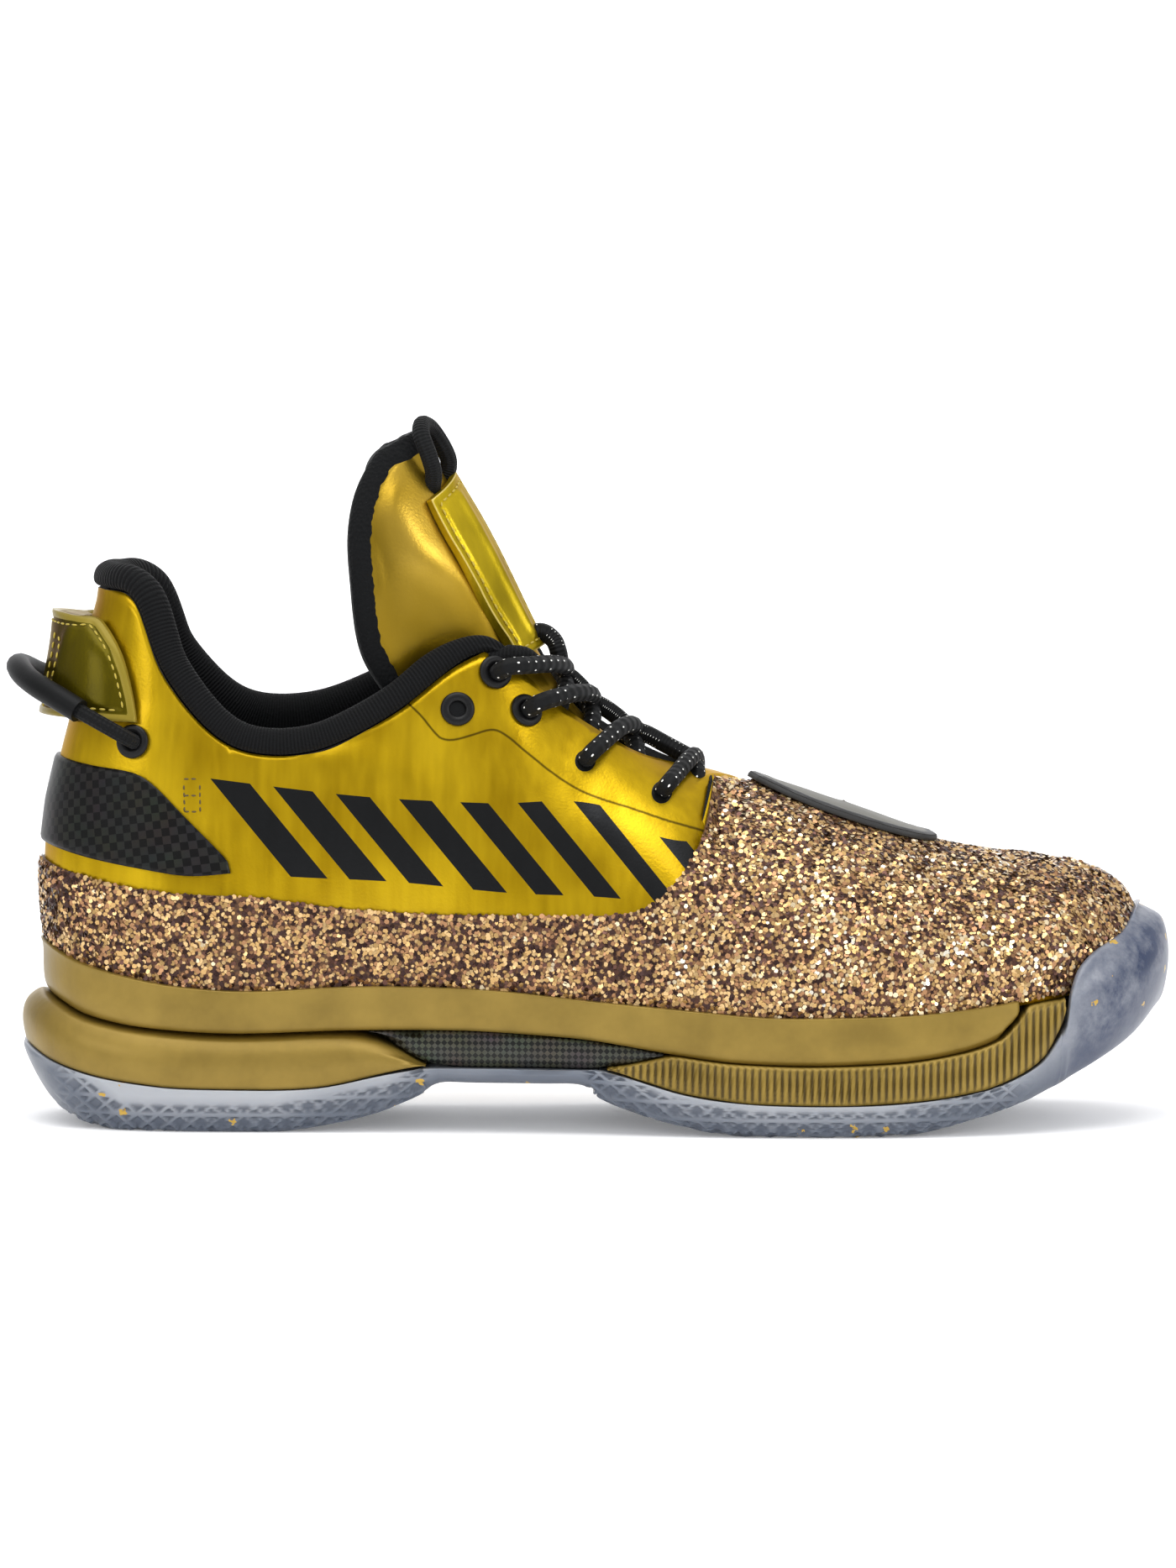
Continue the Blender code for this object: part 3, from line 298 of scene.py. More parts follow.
rubber_wrap = add(rubber_tree, "ShaderNodeMix", {"data_type": "RGBA", 7: linear("#1E2D4C")},
                  {0: rubber_veined_toe_shade.outputs[0], 6: rubber_side.outputs[0]})
# The lattice's grooves are painted darker: painted shade in them.
rubber_groove_shade = add(rubber_tree, "ShaderNodeAttribute", {"attribute_name": "groove"})
rubber_tint = add(rubber_tree, "ShaderNodeMix", {"data_type": "RGBA", 7: linear("#3E4655")},
                  {0: rubber_groove_shade.outputs["Fac"], 6: rubber_wrap.outputs[2]})
# Gold flakes lie here and there in the rubber: some cells of a 7 mm net hold one of 1 to 2 mm.
flake_net = add(rubber_tree, "ShaderNodeTexVoronoi", {"Scale": 1 / 0.007, "Randomness": 1.0},
                {"Vector": rubber_place.outputs["Object"]})
flake_pick = add(rubber_tree, "ShaderNodeSeparateColor", None, {0: flake_net.outputs["Color"]})
flake_some = add(rubber_tree, "ShaderNodeMath", {"operation": "GREATER_THAN", 1: 0.6},
                 {0: flake_pick.outputs[0]})
flake_edge = add(rubber_tree, "ShaderNodeTexNoise", {"Scale": 1 / 0.0009, "Detail": 1.0},
                 {"Vector": rubber_place.outputs["Object"]})
flake_reach = add(rubber_tree, "ShaderNodeMath", {"operation": "MULTIPLY_ADD", 1: 0.3, 2: 0.01},
                  {0: flake_edge.outputs["Fac"]})
flake_near = add(rubber_tree, "ShaderNodeMath", {"operation": "LESS_THAN"},
                 {0: flake_net.outputs["Distance"], 1: flake_reach.outputs[0]})
flake_here = add(rubber_tree, "ShaderNodeMath", {"operation": "MULTIPLY"},
                 {0: flake_some.outputs[0], 1: flake_near.outputs[0]})
rubber_colour = add(rubber_tree, "ShaderNodeMix", {"data_type": "RGBA", 7: linear("#B4912F")},
                    {0: flake_here.outputs[0], 6: rubber_tint.outputs[2]})
rubber_tree.links.new(rubber_colour.outputs[2], rubber_shader.inputs["Base Color"])
grain(rubber_tree, rubber_shader, grain_mm=1.1, strength=0.12, depth_mm=0.2)

LONG_EDGE_MM = 20.0            # the flat tread's edges, which need more points for the lattice
outsole_form = merged_copy("outsole")
tread_edges = [e for e in outsole_form.edges if e.calc_length() > LONG_EDGE_MM * MM]
bmesh.ops.subdivide_edges(outsole_form, edges=tread_edges, cuts=12, use_grid_fill=True)
outsole_mesh = rounded(outsole_form, 2, 50)
LATTICE_MM = 5.6               # between neighbouring ribs of one direction
GROOVE_DEEP_MM = 0.8
LATTICE_TOP_MM = 8.0           # height of the ribs' band over the ground line
LATTICE_END = 116.0            # x from which the toe wrap is smooth
WAIST = (-42.0, 0.0)           # x between which the arch band is smooth
GROUND_LINE = ((-150, -122, -82, -53, -39, 0, 20, 42, 78, 108, 137, 154),
               (18, 0, 0, 5.5, 13, 13, 3.6, 0, 0, 6.4, 19.8, 40))     # x and the sole's lowest height there
fine_form = bmesh.new()
fine_form.from_mesh(outsole_mesh)
fine_edges = set()
for face in fine_form.faces:
    middle = face.calc_center_median() / MM
    low = middle.z - np.interp(middle.x, *GROUND_LINE) < LATTICE_TOP_MM + 2
    upright = -0.9 < face.normal.z < 0.4
    if low and upright and middle.x < LATTICE_END and not WAIST[0] < middle.x < WAIST[1]:
        fine_edges.update(face.edges)
bmesh.ops.subdivide_edges(fine_form, edges=list(fine_edges), cuts=2, use_grid_fill=True)
fine_form.to_mesh(outsole_mesh)
fine_form.free()
# The wrap swells out between its rim and the ground: height, and how far ahead of the solid it lies.
TOE_SWELL = ((17, 20, 24.4, 28.5, 33.6, 38, 43, 50, 55, 58),
             (0, 0.8, 1.8, 3.4, 4.0, 4.0, 3.0, 1.0, -2.0, -2.4))
TOE_SMOOTHING = 12             # rounds that even out the wrap after it
outsole_at = points_of(outsole_mesh)
faces_ahead = smooth_step(normals_of(outsole_mesh)[:, 0], 0.0, 0.5) * smooth_step(outsole_at[:, 0], 118, 140)
outsole_at[:, 0] += np.interp(outsole_at[:, 2], *TOE_SWELL) * faces_ahead
toe_share = smooth_step(outsole_at[:, 0], 110, 122) * (1 - smooth_step(outsole_at[:, 2], 50, 56))
outsole_at += toe_share[:, None] * (neighbour_mean(outsole_mesh, outsole_at, TOE_SMOOTHING) - outsole_at)
move_to(outsole_mesh, outsole_at)
outsole_facing = normals_of(outsole_mesh)


def lattice_of(along, across):
    """1 between the ribs of a lattice and 0 on them."""
    lean_a = np.abs(((along + across) / LATTICE_MM) % 1.0 - 0.5) * 2
    lean_b = np.abs(((along - across) / LATTICE_MM) % 1.0 - 0.5) * 2
    level = np.abs((across / LATTICE_MM) % 1.0 - 0.5) * 2
    return 1 - smooth_step(np.maximum(np.maximum(lean_a, lean_b), level), 0.64, 0.86)


rise = outsole_at[:, 2] - np.interp(outsole_at[:, 0], *GROUND_LINE)
underside = smooth_step(-outsole_facing[:, 2], 0.75, 0.9)
side_band = 1 - smooth_step(rise, LATTICE_TOP_MM - 2, LATTICE_TOP_MM)
side_band *= 1 - smooth_step(outsole_facing[:, 2], 0.1, 0.4)
in_waist = smooth_step(outsole_at[:, 0], WAIST[0] - 2, WAIST[0] + 2)
in_waist *= 1 - smooth_step(outsole_at[:, 0], WAIST[1] - 3, WAIST[1] + 2)
groove = side_band * (1 - underside) * lattice_of(outsole_at[:, 0], outsole_at[:, 2] * 1.2)
groove += underside * lattice_of(outsole_at[:, 0], outsole_at[:, 1])
groove *= 1 - in_waist
groove *= smooth_step(outsole_at[:, 0], -143, -130) * (1 - smooth_step(outsole_at[:, 0], 104, 118))
push(outsole_mesh, -GROOVE_DEEP_MM * groove)
# No point lies under the floor.
outsole_at = points_of(outsole_mesh)
outsole_at[:, 2] = np.maximum(outsole_at[:, 2], 0)
move_to(outsole_mesh, outsole_at)
# The grooves' share, which the material paints darker as shade in them.
keep_value(outsole_mesh, "groove", 0.75 * groove)
# Height over the ground, which the material paints darker low down as shade.
keep_value(outsole_mesh, "rise", smooth_step(rise, 0.0, 13.0))
# Share of the toe wrap that the material paints darker toward its front and foot, as shade.
keep_value(outsole_mesh, "toe", 0.56 * smooth_step(outsole_at[:, 0], 108, 132)
           + 0.44 * smooth_step(outsole_at[:, 0] - 0.4 * (outsole_at[:, 2] - 25), 116, 140))
place_piece("rubber_outsole", outsole_mesh, rubber, ["outsole"])


# Heel wedge, forefoot wedge and rail: foam blocks, moulded and sprayed with gold paint, glued
# one on the other. The forefoot block keeps the upright ribs of its mould.
# Sprayed metallic paint on foam: satin, with a faint cloud of pigment and a skin like an egg's.
paint, paint_tree, paint_shader = new_material("gold_spray_paint", {
    "Metallic": 0.5, "Roughness": 0.4, "Coat Weight": 0.08, "Coat Roughness": 0.3, "Specular IOR Level": 0.4})
paint_place = add(paint_tree, "ShaderNodeTexCoord")
paint_cloud = add(paint_tree, "ShaderNodeTexNoise", {"Scale": 1 / 0.018, "Detail": 4.0, "Roughness": 0.6},
                  {"Vector": paint_place.outputs["Object"]})
paint_tint = add(paint_tree, "ShaderNodeValToRGB", None, {0: paint_cloud.outputs["Fac"]})
paint_tint.color_ramp.elements[0].position, paint_tint.color_ramp.elements[1].position = 0.3, 0.75
paint_tint.color_ramp.elements[0].color = linear("#7A6426")
paint_tint.color_ramp.elements[1].color = linear("#957C36")
# The forefoot block's rib valleys, marked hollow, are painted dark: painted shade.
paint_valley_shade = add(paint_tree, "ShaderNodeAttribute", {"attribute_name": "hollow"})
paint_shade = add(paint_tree, "ShaderNodeMix", {"data_type": "RGBA", 7: linear("#33270A")},
                  {0: paint_valley_shade.outputs["Fac"], 6: paint_tint.outputs[0]})
paint_tree.links.new(paint_shade.outputs[2], paint_shader.inputs["Base Color"])
paint_rough = add(paint_tree, "ShaderNodeMapRange", {"To Min": 0.34, "To Max": 0.5},
                  {"Value": paint_cloud.outputs["Fac"]})
paint_tree.links.new(paint_rough.outputs[0], paint_shader.inputs["Roughness"])
paint_skin = add(paint_tree, "ShaderNodeTexNoise", {"Scale": 1 / 0.0016, "Detail": 2.0},
                 {"Vector": paint_place.outputs["Object"]})
paint_dent = add(paint_tree, "ShaderNodeTexNoise", {"Scale": 1 / 0.011, "Detail": 2.0},
                 {"Vector": paint_place.outputs["Object"]})
paint_relief = add(paint_tree, "ShaderNodeMath", {"operation": "MULTIPLY_ADD", 1: 6.0},
                   {0: paint_dent.outputs["Fac"], 2: paint_skin.outputs["Fac"]})
paint_bump = add(paint_tree, "ShaderNodeBump", {"Strength": 0.22, "Distance": 0.0002},
                 {"Height": paint_relief.outputs[0]})
paint_tree.links.new(paint_bump.outputs["Normal"], paint_shader.inputs["Normal"])


def on_underside(edge):
    """Tells whether an edge borders a face that looks down."""
    return min(face.normal.z for face in edge.link_faces) < -0.7


place_piece("foam_heel_wedge", rounded(merged_copy("heel_wedge"), 2, 30, 1.0, on_underside), paint,
            ["heel_wedge"])
RIB_HALF_MM = 0.9
RIB_FIRST = 4.97               # x of the first peak
RIB_PITCH = 1.926


def off_rib_peak(edge):
    """Tells whether an edge isn't a rib's peak, which alone is round: ribs' feet and rims stay crisp."""
    return not edge.is_convex or abs(edge.verts[0].co.x - edge.verts[1].co.x) > RIB_HALF_MM * MM / 2


rib_mesh = rounded(merged_copy("forefoot_wedge"), 2, 30, 0.8, off_rib_peak)
rib_turn = (points_of(rib_mesh)[:, 0] - RIB_FIRST) / RIB_PITCH
rib_valley = smooth_step(0.5 - 0.5 * np.cos(2 * math.pi * rib_turn), 0.3, 0.95)
rib_upright = 1 - smooth_step(np.abs(normals_of(rib_mesh)[:, 2]), 0.5, 0.8)
# hollow: the rib valleys on the upright sides, which the paint darkens as painted shade.
keep_value(rib_mesh, "hollow", 0.85 * rib_valley * rib_upright)
place_piece("foam_forefoot_wedge", rib_mesh, paint, ["forefoot_wedge"])
place_piece("foam_rail", rounded(merged_copy("midsole_rail"), 2, 35, 1.0), paint,
            ["midsole_rail"])


# Shank plate: a stiff sheet of woven fibre in resin, glued in the waist between the two wedges.
# Woven fibre under clear resin: dark squares of tow that catch the light in two directions.
def woven_check(name, dark, light, cell_mm, turn, shine):
    """A dark check of square cells, laid at a turn in degrees to the sheet that weave_at gives."""
    made, tree, shader = new_material(name, {"Roughness": 0.43, "Coat Weight": shine, "Coat Roughness": 0.12,
                                             "Specular IOR Level": shine})
    weave_at = add(tree, "ShaderNodeAttribute", {"attribute_name": "weave_at"})
    weave_turn = add(tree, "ShaderNodeMapping", {"Rotation": (0, 0, math.radians(turn))},
                     {"Vector": weave_at.outputs["Vector"]})
    check = add(tree, "ShaderNodeTexChecker",
                {"Scale": 1 / cell_mm, "Color1": linear(dark), "Color2": linear(light)},
                {"Vector": weave_turn.outputs[0]})
    tone = add(tree, "ShaderNodeTexNoise", {"Scale": 0.12, "Detail": 3.0},
               {"Vector": weave_at.outputs["Vector"]})
    worn = add(tree, "ShaderNodeMix", {"data_type": "RGBA", "blend_type": "MULTIPLY", 0: 0.7},
               {6: check.outputs["Color"], 7: tone.outputs["Color"]})
    tree.links.new(worn.outputs[2], shader.inputs["Base Color"])
    thread = add(tree, "ShaderNodeBump", {"Strength": 0.35, "Distance": 0.0002},
                 {"Height": check.outputs["Fac"]})
    tree.links.new(thread.outputs["Normal"], shader.inputs["Normal"])
    return made


def keep_flat(mesh, name, along, up):
    """Keeps where each point lies on its own cloth or sheet, in millimetres, for a weave to follow."""
    flat = np.stack([along, up, np.zeros(len(along))], axis=1).astype(np.float32)
    mesh.attributes.new(name, "FLOAT_VECTOR", "POINT").data.foreach_set("vector", flat.ravel())


plate_weave = woven_check("woven_fibre_plate", "#131310", "#4A4840", 1.15, 45, 0.22)
plate_mesh = rounded(merged_copy("shank_plate"), 2, 55, 0.5)
plate_at = points_of(plate_mesh)
keep_flat(plate_mesh, "weave_at", plate_at[:, 0], plate_at[:, 2])
place_piece("woven_shank_plate", plate_mesh, plate_weave, ["shank_plate"])


# Insole: a loose footbed of foam with black cloth on it, cut to the last and laid on the rail.
# Footbed cloth: matt, woven in close rows.
footbed, footbed_tree, footbed_shader = new_material("black_footbed_cloth", {
    "Base Color": linear("#232324"), "Roughness": 0.92, "Sheen Weight": 0.25, "Specular IOR Level": 0.25})
footbed_place = add(footbed_tree, "ShaderNodeTexCoord")
footbed_rows = add(footbed_tree, "ShaderNodeTexWave", {"Scale": 1 / 0.0075, "Distortion": 1.2},
                   {"Vector": footbed_place.outputs["Object"]})
footbed_bump = add(footbed_tree, "ShaderNodeBump", {"Strength": 0.35, "Distance": 0.0003},
                   {"Height": footbed_rows.outputs["Fac"]})
footbed_tree.links.new(footbed_bump.outputs["Normal"], footbed_shader.inputs["Normal"])
insole_mesh = rounded(merged_copy("insole"), 2, 60, 0.5)
insole = place_piece("foam_insole", insole_mesh, footbed, ["insole"])


# Upper: cloth with a skin of gold film, cut in panels, pressed on the last and lined in black.
# The eyestay is a second layer on it, eight slanted bars of black film are welded to each side,
# and holes are punched for laces and heel pull.
def flowing(rows, per_span=10):
    """Points of a smooth line through the rows."""
    rows = np.asarray(rows, float)
    ends = np.vstack([2 * rows[0] - rows[1], rows, 2 * rows[-1] - rows[-2]])
    line = []
    for k in range(len(rows) - 1):
        a, b, c, d = ends[k:k + 4]
        for f in np.linspace(0, 1, per_span, endpoint=False):
            line.append(b + 0.5 * f * (c - a + f * (2 * a - 5 * b + 4 * c - d + f * (3 * (b - c) + d - a))))
    return np.array(line + [rows[-1]])


def from_line(spots, line):
    """Distance of flat points from a line, positive on its left."""
    best = np.full(len(spots), 1e9)
    side = np.ones(len(spots))
    for start, end in zip(line, line[1:]):
        run = end - start
        reach = np.clip(((spots - start) @ run) / (run @ run), 0, 1)
        off = spots - (start + reach[:, None] * run)
        gap = np.hypot(off[:, 0], off[:, 1])
        nearer = gap < best
        best = np.where(nearer, gap, best)
        side = np.where(nearer, np.sign(run[0] * off[:, 1] - run[1] * off[:, 0]), side)
    return best * np.where(side == 0, 1, side)


def one_face(form, near, sharp):
    """Faces that run on from the one nearest a point without a sharp turn."""
    first = min(form.faces, key=lambda f: (f.calc_center_median() - near).length)
    found = {first}
    waiting = [first]
    while waiting:
        face = waiting.pop()
        for edge in face.edges:
            if len(edge.link_faces) == 2 and edge.calc_face_angle() < math.radians(sharp):
                new = [f for f in edge.link_faces if f not in found]
                found.update(new)
                waiting += new
    return found


def mark_face(form, near, sharp):
    """Gives one face of a form the first material and the others the second, and returns that face."""
    found = one_face(form, near, sharp)
    for face in form.faces:
        face.material_index = 0 if face in found else 1
    return found


def first_points(mesh):
    """Marks the points of the faces that carry a mesh's first material."""
    found = np.zeros(len(mesh.vertices), bool)
    for polygon in mesh.polygons:
        if polygon.material_index == 0:
            found[list(polygon.vertices)] = True
    return found


FOIL_SHINE = "#C2A850"         # what gold film mirrors at a low angle


# Gold film on cloth: thin bright foil with a lacquer, slightly wavy, with fine upright streaks that vary its
# gloss and are painted into its tone as streaky reflections, and a duller grain where the cloth shows
# through.
def gold_foil(name, deep, bright, streak_mm):
    """Film between two tones, with streaks of one width that vary its gloss and paint reflections into its
    tone.
    """
    made, tree, shader = new_material(name, {"Metallic": 0.9, "Roughness": 0.3, "Coat Weight": 0.1,
                                             "Coat Roughness": 0.18, "Specular Tint": linear(FOIL_SHINE)})
    place = add(tree, "ShaderNodeTexCoord")
    wave = add(tree, "ShaderNodeTexNoise", {"Scale": 1 / 0.026, "Detail": 2.0},
               {"Vector": place.outputs["Object"]})
    stretch = add(tree, "ShaderNodeMapping", {"Scale": (1.0, 1.0, 0.08)}, {"Vector": place.outputs["Object"]})
    reflection_and_gloss_streak = add(tree, "ShaderNodeTexNoise", {"Scale": 1000 / streak_mm, "Detail": 2.0},
                 {"Vector": stretch.outputs[0]})
    cloth = add(tree, "ShaderNodeTexNoise", {"Scale": 1 / 0.0007, "Detail": 1.0},
                {"Vector": place.outputs["Object"]})
    mixed = add(tree, "ShaderNodeMath", {"operation": "MULTIPLY_ADD", 1: 0.35},
                {0: reflection_and_gloss_streak.outputs["Fac"], 2: wave.outputs["Fac"]})
    tint = add(tree, "ShaderNodeValToRGB", None, {0: mixed.outputs[0]})
    tint.color_ramp.elements[0].position, tint.color_ramp.elements[1].position = 0.45, 0.92
    tint.color_ramp.elements[0].color = linear(deep)
    tint.color_ramp.elements[1].color = linear(bright)
    rough = add(tree, "ShaderNodeMapRange", {"To Min": 0.24, "To Max": 0.42},
                {"Value": reflection_and_gloss_streak.outputs["Fac"]})
    tree.links.new(rough.outputs[0], shader.inputs["Roughness"])
    relief = add(tree, "ShaderNodeMath", {"operation": "MULTIPLY_ADD", 1: 9.0},
                 {0: wave.outputs["Fac"], 2: cloth.outputs["Fac"]})
    bump = add(tree, "ShaderNodeBump", {"Strength": 0.16, "Distance": 0.00025}, {"Height": relief.outputs[0]})
    tree.links.new(bump.outputs["Normal"], shader.inputs["Normal"])
    tree.links.new(tint.outputs[0], shader.inputs["Base Color"])
    return made, tree, shader, tint


upper_gold, upper_tree, upper_shader, upper_tint = gold_foil("gold_film_on_cloth", "#A68404", "#D4B018", 3.0)
upper_place = add(upper_tree, "ShaderNodeTexCoord")
upper_flat = add(upper_tree, "ShaderNodeVectorMath", {"operation": "MULTIPLY", 1: (1000, 0, 1000)},
                 {0: upper_place.outputs["Object"]})
upper_axes = add(upper_tree, "ShaderNodeSeparateXYZ", None, {0: upper_flat.outputs[0]})
# Bars from the heel on: the x of their two long sides where they cross BAR_LEVEL.
BAR_LEVEL = 75.0
BAR_SIDES = ((-84.4, -75.2), (-69.5, -60.6), (-54.8, -46.6), (-39.4, -31.6), (-24.5, -17.4), (-9.5, -3.0),
             (5.2, 11.3), (20.0, 26.0))
BAR_SLANT = 0.83               # how far a bar runs forward for each millimetre down
BAR_SPAN = (-100.0, 40.0)
# Lines that the bars start and end on: x and height.
BAR_TOPS = ((-100, 92.3), (-81, 90.0), (-65, 88.2), (-49, 86.9), (-26, 85.9), (3, 85.2), (12, 81.0),
            (18, 77.3), (40, 76.4))
BAR_FEET = ((-100, 68.0), (-76, 66.7), (-50, 65.5), (-22, 62.9), (7, 61.6), (40, 58.0))
bar_skew = add(upper_tree, "ShaderNodeMath", {"operation": "MULTIPLY_ADD", 1: BAR_SLANT},
               {0: upper_axes.outputs[2], 2: upper_axes.outputs[0]})
bar_shift = BAR_SLANT * BAR_LEVEL
bar_place = add(upper_tree, "ShaderNodeMapRange",
                {"From Min": BAR_SPAN[0] + bar_shift, "From Max": BAR_SPAN[1] + bar_shift},
                {"Value": bar_skew.outputs[0]})
bar_ramp = add(upper_tree, "ShaderNodeValToRGB", None, {0: bar_place.outputs[0]})
bar_ramp.color_ramp.interpolation = "CONSTANT"
bar_ramp.color_ramp.elements.remove(bar_ramp.color_ramp.elements[1])
for left, right in BAR_SIDES:
    for x, shade in ((left, 1), (right, 0)):
        stop = bar_ramp.color_ramp.elements.new((x - BAR_SPAN[0]) / (BAR_SPAN[1] - BAR_SPAN[0]))
        stop.color = (shade, shade, shade, 1)
black_bars_and_hole_shade = bar_ramp.outputs[0]
bar_along = add(upper_tree, "ShaderNodeMapRange", {"From Min": BAR_SPAN[0], "From Max": BAR_SPAN[1]},
                {"Value": upper_axes.outputs[0]})
bar_height = add(upper_tree, "ShaderNodeMath", {"operation": "DIVIDE", 1: 100.0}, {0: upper_axes.outputs[2]})
for line, test in ((BAR_TOPS, "LESS_THAN"), (BAR_FEET, "GREATER_THAN")):
    curve = add(upper_tree, "ShaderNodeFloatCurve", None, {"Value": bar_along.outputs[0]})
    track = curve.mapping.curves[0].points
    for _ in line[2:]:
        track.new(0.5, 0.5)
    for point, (x, z) in zip(track, line):
        point.location = ((x - BAR_SPAN[0]) / (BAR_SPAN[1] - BAR_SPAN[0]), z / 100)
    curve.mapping.update()
    within = add(upper_tree, "ShaderNodeMath", {"operation": test},
                 {0: bar_height.outputs[0], 1: curve.outputs[0]})
    both = add(upper_tree, "ShaderNodeMath", {"operation": "MULTIPLY"}, {0: black_bars_and_hole_shade, 1: within.outputs[0]})
    black_bars_and_hole_shade = both.outputs[0]
# Punched holes, each a black disc painted on the film for the lining seen through it, in painted shade: x,
# height and radius.
HOLES = ((-24.4, 119.3, 2.3), (-33.9, 110.0, 2.3), (-16.4, 109.2, 2.3), (-118.4, 101.4, 2.3),
         (-0.7, 96.3, 2.7), (19.3, 87.9, 2.7))
for x, z, radius in HOLES:
    off = add(upper_tree, "ShaderNodeVectorMath", {"operation": "DISTANCE", 1: (x, 0, z)},
              {0: upper_flat.outputs[0]})
    hole_shade = add(upper_tree, "ShaderNodeMath", {"operation": "LESS_THAN", 1: radius}, {0: off.outputs["Value"]})
    either = add(upper_tree, "ShaderNodeMath", {"operation": "MAXIMUM"}, {0: black_bars_and_hole_shade, 1: hole_shade.outputs[0]})
    black_bars_and_hole_shade = either.outputs[0]
seam_edge = add(upper_tree, "ShaderNodeAttribute", {"attribute_name": "seam"})
seam_near = add(upper_tree, "ShaderNodeMath", {"operation": "ABSOLUTE"}, {0: seam_edge.outputs["Fac"]})
seam_here = add(upper_tree, "ShaderNodeMapRange",
                {"From Min": 0.12, "From Max": 0.42, "To Min": 0.85, "To Max": 0.0},
                {"Value": seam_near.outputs[0]})
sewn_tint = add(upper_tree, "ShaderNodeMix", {"data_type": "RGBA", 7: linear("#3D2F06")},
                {0: seam_here.outputs[0], 6: upper_tint.outputs[0]})
barred_tint = add(upper_tree, "ShaderNodeMix", {"data_type": "RGBA", 7: linear("#080807")},
                  {0: black_bars_and_hole_shade, 6: sewn_tint.outputs[2]})
upper_tree.links.new(barred_tint.outputs[2], upper_shader.inputs["Base Color"])
for socket, plain, barred in (("Metallic", 0.9, 0.0), ("Coat Weight", 0.12, 0.1),
                              ("Specular IOR Level", 0.5, 0.35)):
    level = add(upper_tree, "ShaderNodeMath", {"operation": "MULTIPLY_ADD", 1: barred - plain, 2: plain},
                {0: black_bars_and_hole_shade})
    upper_tree.links.new(level.outputs[0], upper_shader.inputs[socket])
plain_shine = add(upper_tree, "ShaderNodeMix",
                  {"data_type": "RGBA", 6: linear(FOIL_SHINE), 7: linear("#B8BCC4")},
                  {0: black_bars_and_hole_shade})
upper_tree.links.new(plain_shine.outputs[2], upper_shader.inputs["Specular Tint"])

# Lining: brushed black knit, dull, with a fine nap.
lining, lining_tree, lining_shader = new_material("black_lining_knit", {
    "Base Color": linear("#121314"), "Roughness": 0.9, "Sheen Weight": 0.08, "Specular IOR Level": 0.2})
lining_place = add(lining_tree, "ShaderNodeTexCoord")
lining_cells = add(lining_tree, "ShaderNodeTexVoronoi", {"Scale": 1 / 0.0011},
                   {"Vector": lining_place.outputs["Object"]})
lining_bump = add(lining_tree, "ShaderNodeBump", {"Strength": 0.5, "Distance": 0.0003},
                  {"Height": lining_cells.outputs["Distance"]})
lining_tree.links.new(lining_bump.outputs["Normal"], lining_shader.inputs["Normal"])

upper_form = merged_copy("upper")
mark_face(upper_form, Vector((-0.04, -0.05, 0.07)), 50)
upper_mesh = rounded(upper_form, 3, 50)
# The heel swells out behind, a little more than its solids: height, and how far.
HEEL_SWELL = ((40, 60, 75, 85, 97, 106), (0.8, 1.8, 2.3, 2.0, 0.8, 0.0))


def swell_heel(mesh):
    """Moves the back of a piece that goes round the heel out with the swell."""
    at = points_of(mesh)
    behind = smooth_step(-normals_of(mesh)[:, 0], 0.2, 0.9) * smooth_step(-at[:, 0], 105, 130)
    at[:, 0] -= np.interp(at[:, 2], *HEEL_SWELL) * behind
    move_to(mesh, at)


swell_heel(upper_mesh)
upper_side = points_of(upper_mesh)[:, [0, 2]]
EYESTAY_SEAM = ((-49, 113.5), (-43.8, 108.8), (-40.5, 104.8), (-38.2, 102.6), (-34.9, 102.2), (-30.5, 103.3),
                (-26.1, 104.6), (-23.4, 104.4), (-20.5, 102.6), (-16.1, 98.9), (-10.6, 94.5), (-3.9, 90.0),
                (2.7, 87.1), (11.6, 84.3), (22.6, 80.5), (34, 76.7))
seam_gap = from_line(upper_side, flowing(EYESTAY_SEAM))
keep_value(upper_mesh, "seam", seam_gap)
# Soft troughs pressed in: path in x and z, half width and depth.
TROUGHS = (
    (((-66, 97), (-52, 94), (-42, 88)), 7.0, 0.9),
    (((-30, 99), (-29, 90), (-31, 80)), 3.2, 0.35),
    (((-21, 98), (-19, 88), (-21, 80)), 3.0, 0.3),
    (((-127, 136), (-121, 124), (-119, 112)), 4.0, 0.7),
    (((-8, 96), (4, 88), (20, 83)), 4.5, 0.35),
    (((-116, 84), (-104, 70), (-96, 64)), 6.0, 0.3),
)
EYESTAY_MM = 0.25              # thickness of the second layer
lift = EYESTAY_MM * smooth_step(seam_gap, -0.5, 0.5)
for path, wide, deep in TROUGHS:
    lift -= deep * np.exp(-(from_line(upper_side, flowing(path)) / wide) ** 2)
push(upper_mesh, np.where(first_points(upper_mesh), lift, 0.0))
place_piece("gold_upper", upper_mesh, [upper_gold, lining], ["upper"])


# Glitter overlay: a low band of dark cloth, cut to the foot's shape and welded on the upper.
# Coarse flakes of gold, copper, brown and white foil stand in its glue at all angles.
# Glue on cloth: dull and brown, with paler specks.
glue, glue_tree, glue_shader = new_material("dark_glue_on_cloth",
                                            {"Roughness": 0.6, "Specular IOR Level": 0.4})
glue_place = add(glue_tree, "ShaderNodeTexCoord")
glue_specks = add(glue_tree, "ShaderNodeTexVoronoi", {"Scale": 1 / 0.0008},
                  {"Vector": glue_place.outputs["Object"]})
glue_tint = add(glue_tree, "ShaderNodeMix", {"data_type": "RGBA", 6: linear("#2A1B16"), 7: linear("#6E4A2C")},
                {0: glue_specks.outputs["Distance"]})
glue_tree.links.new(glue_tint.outputs[2], glue_shader.inputs["Base Color"])

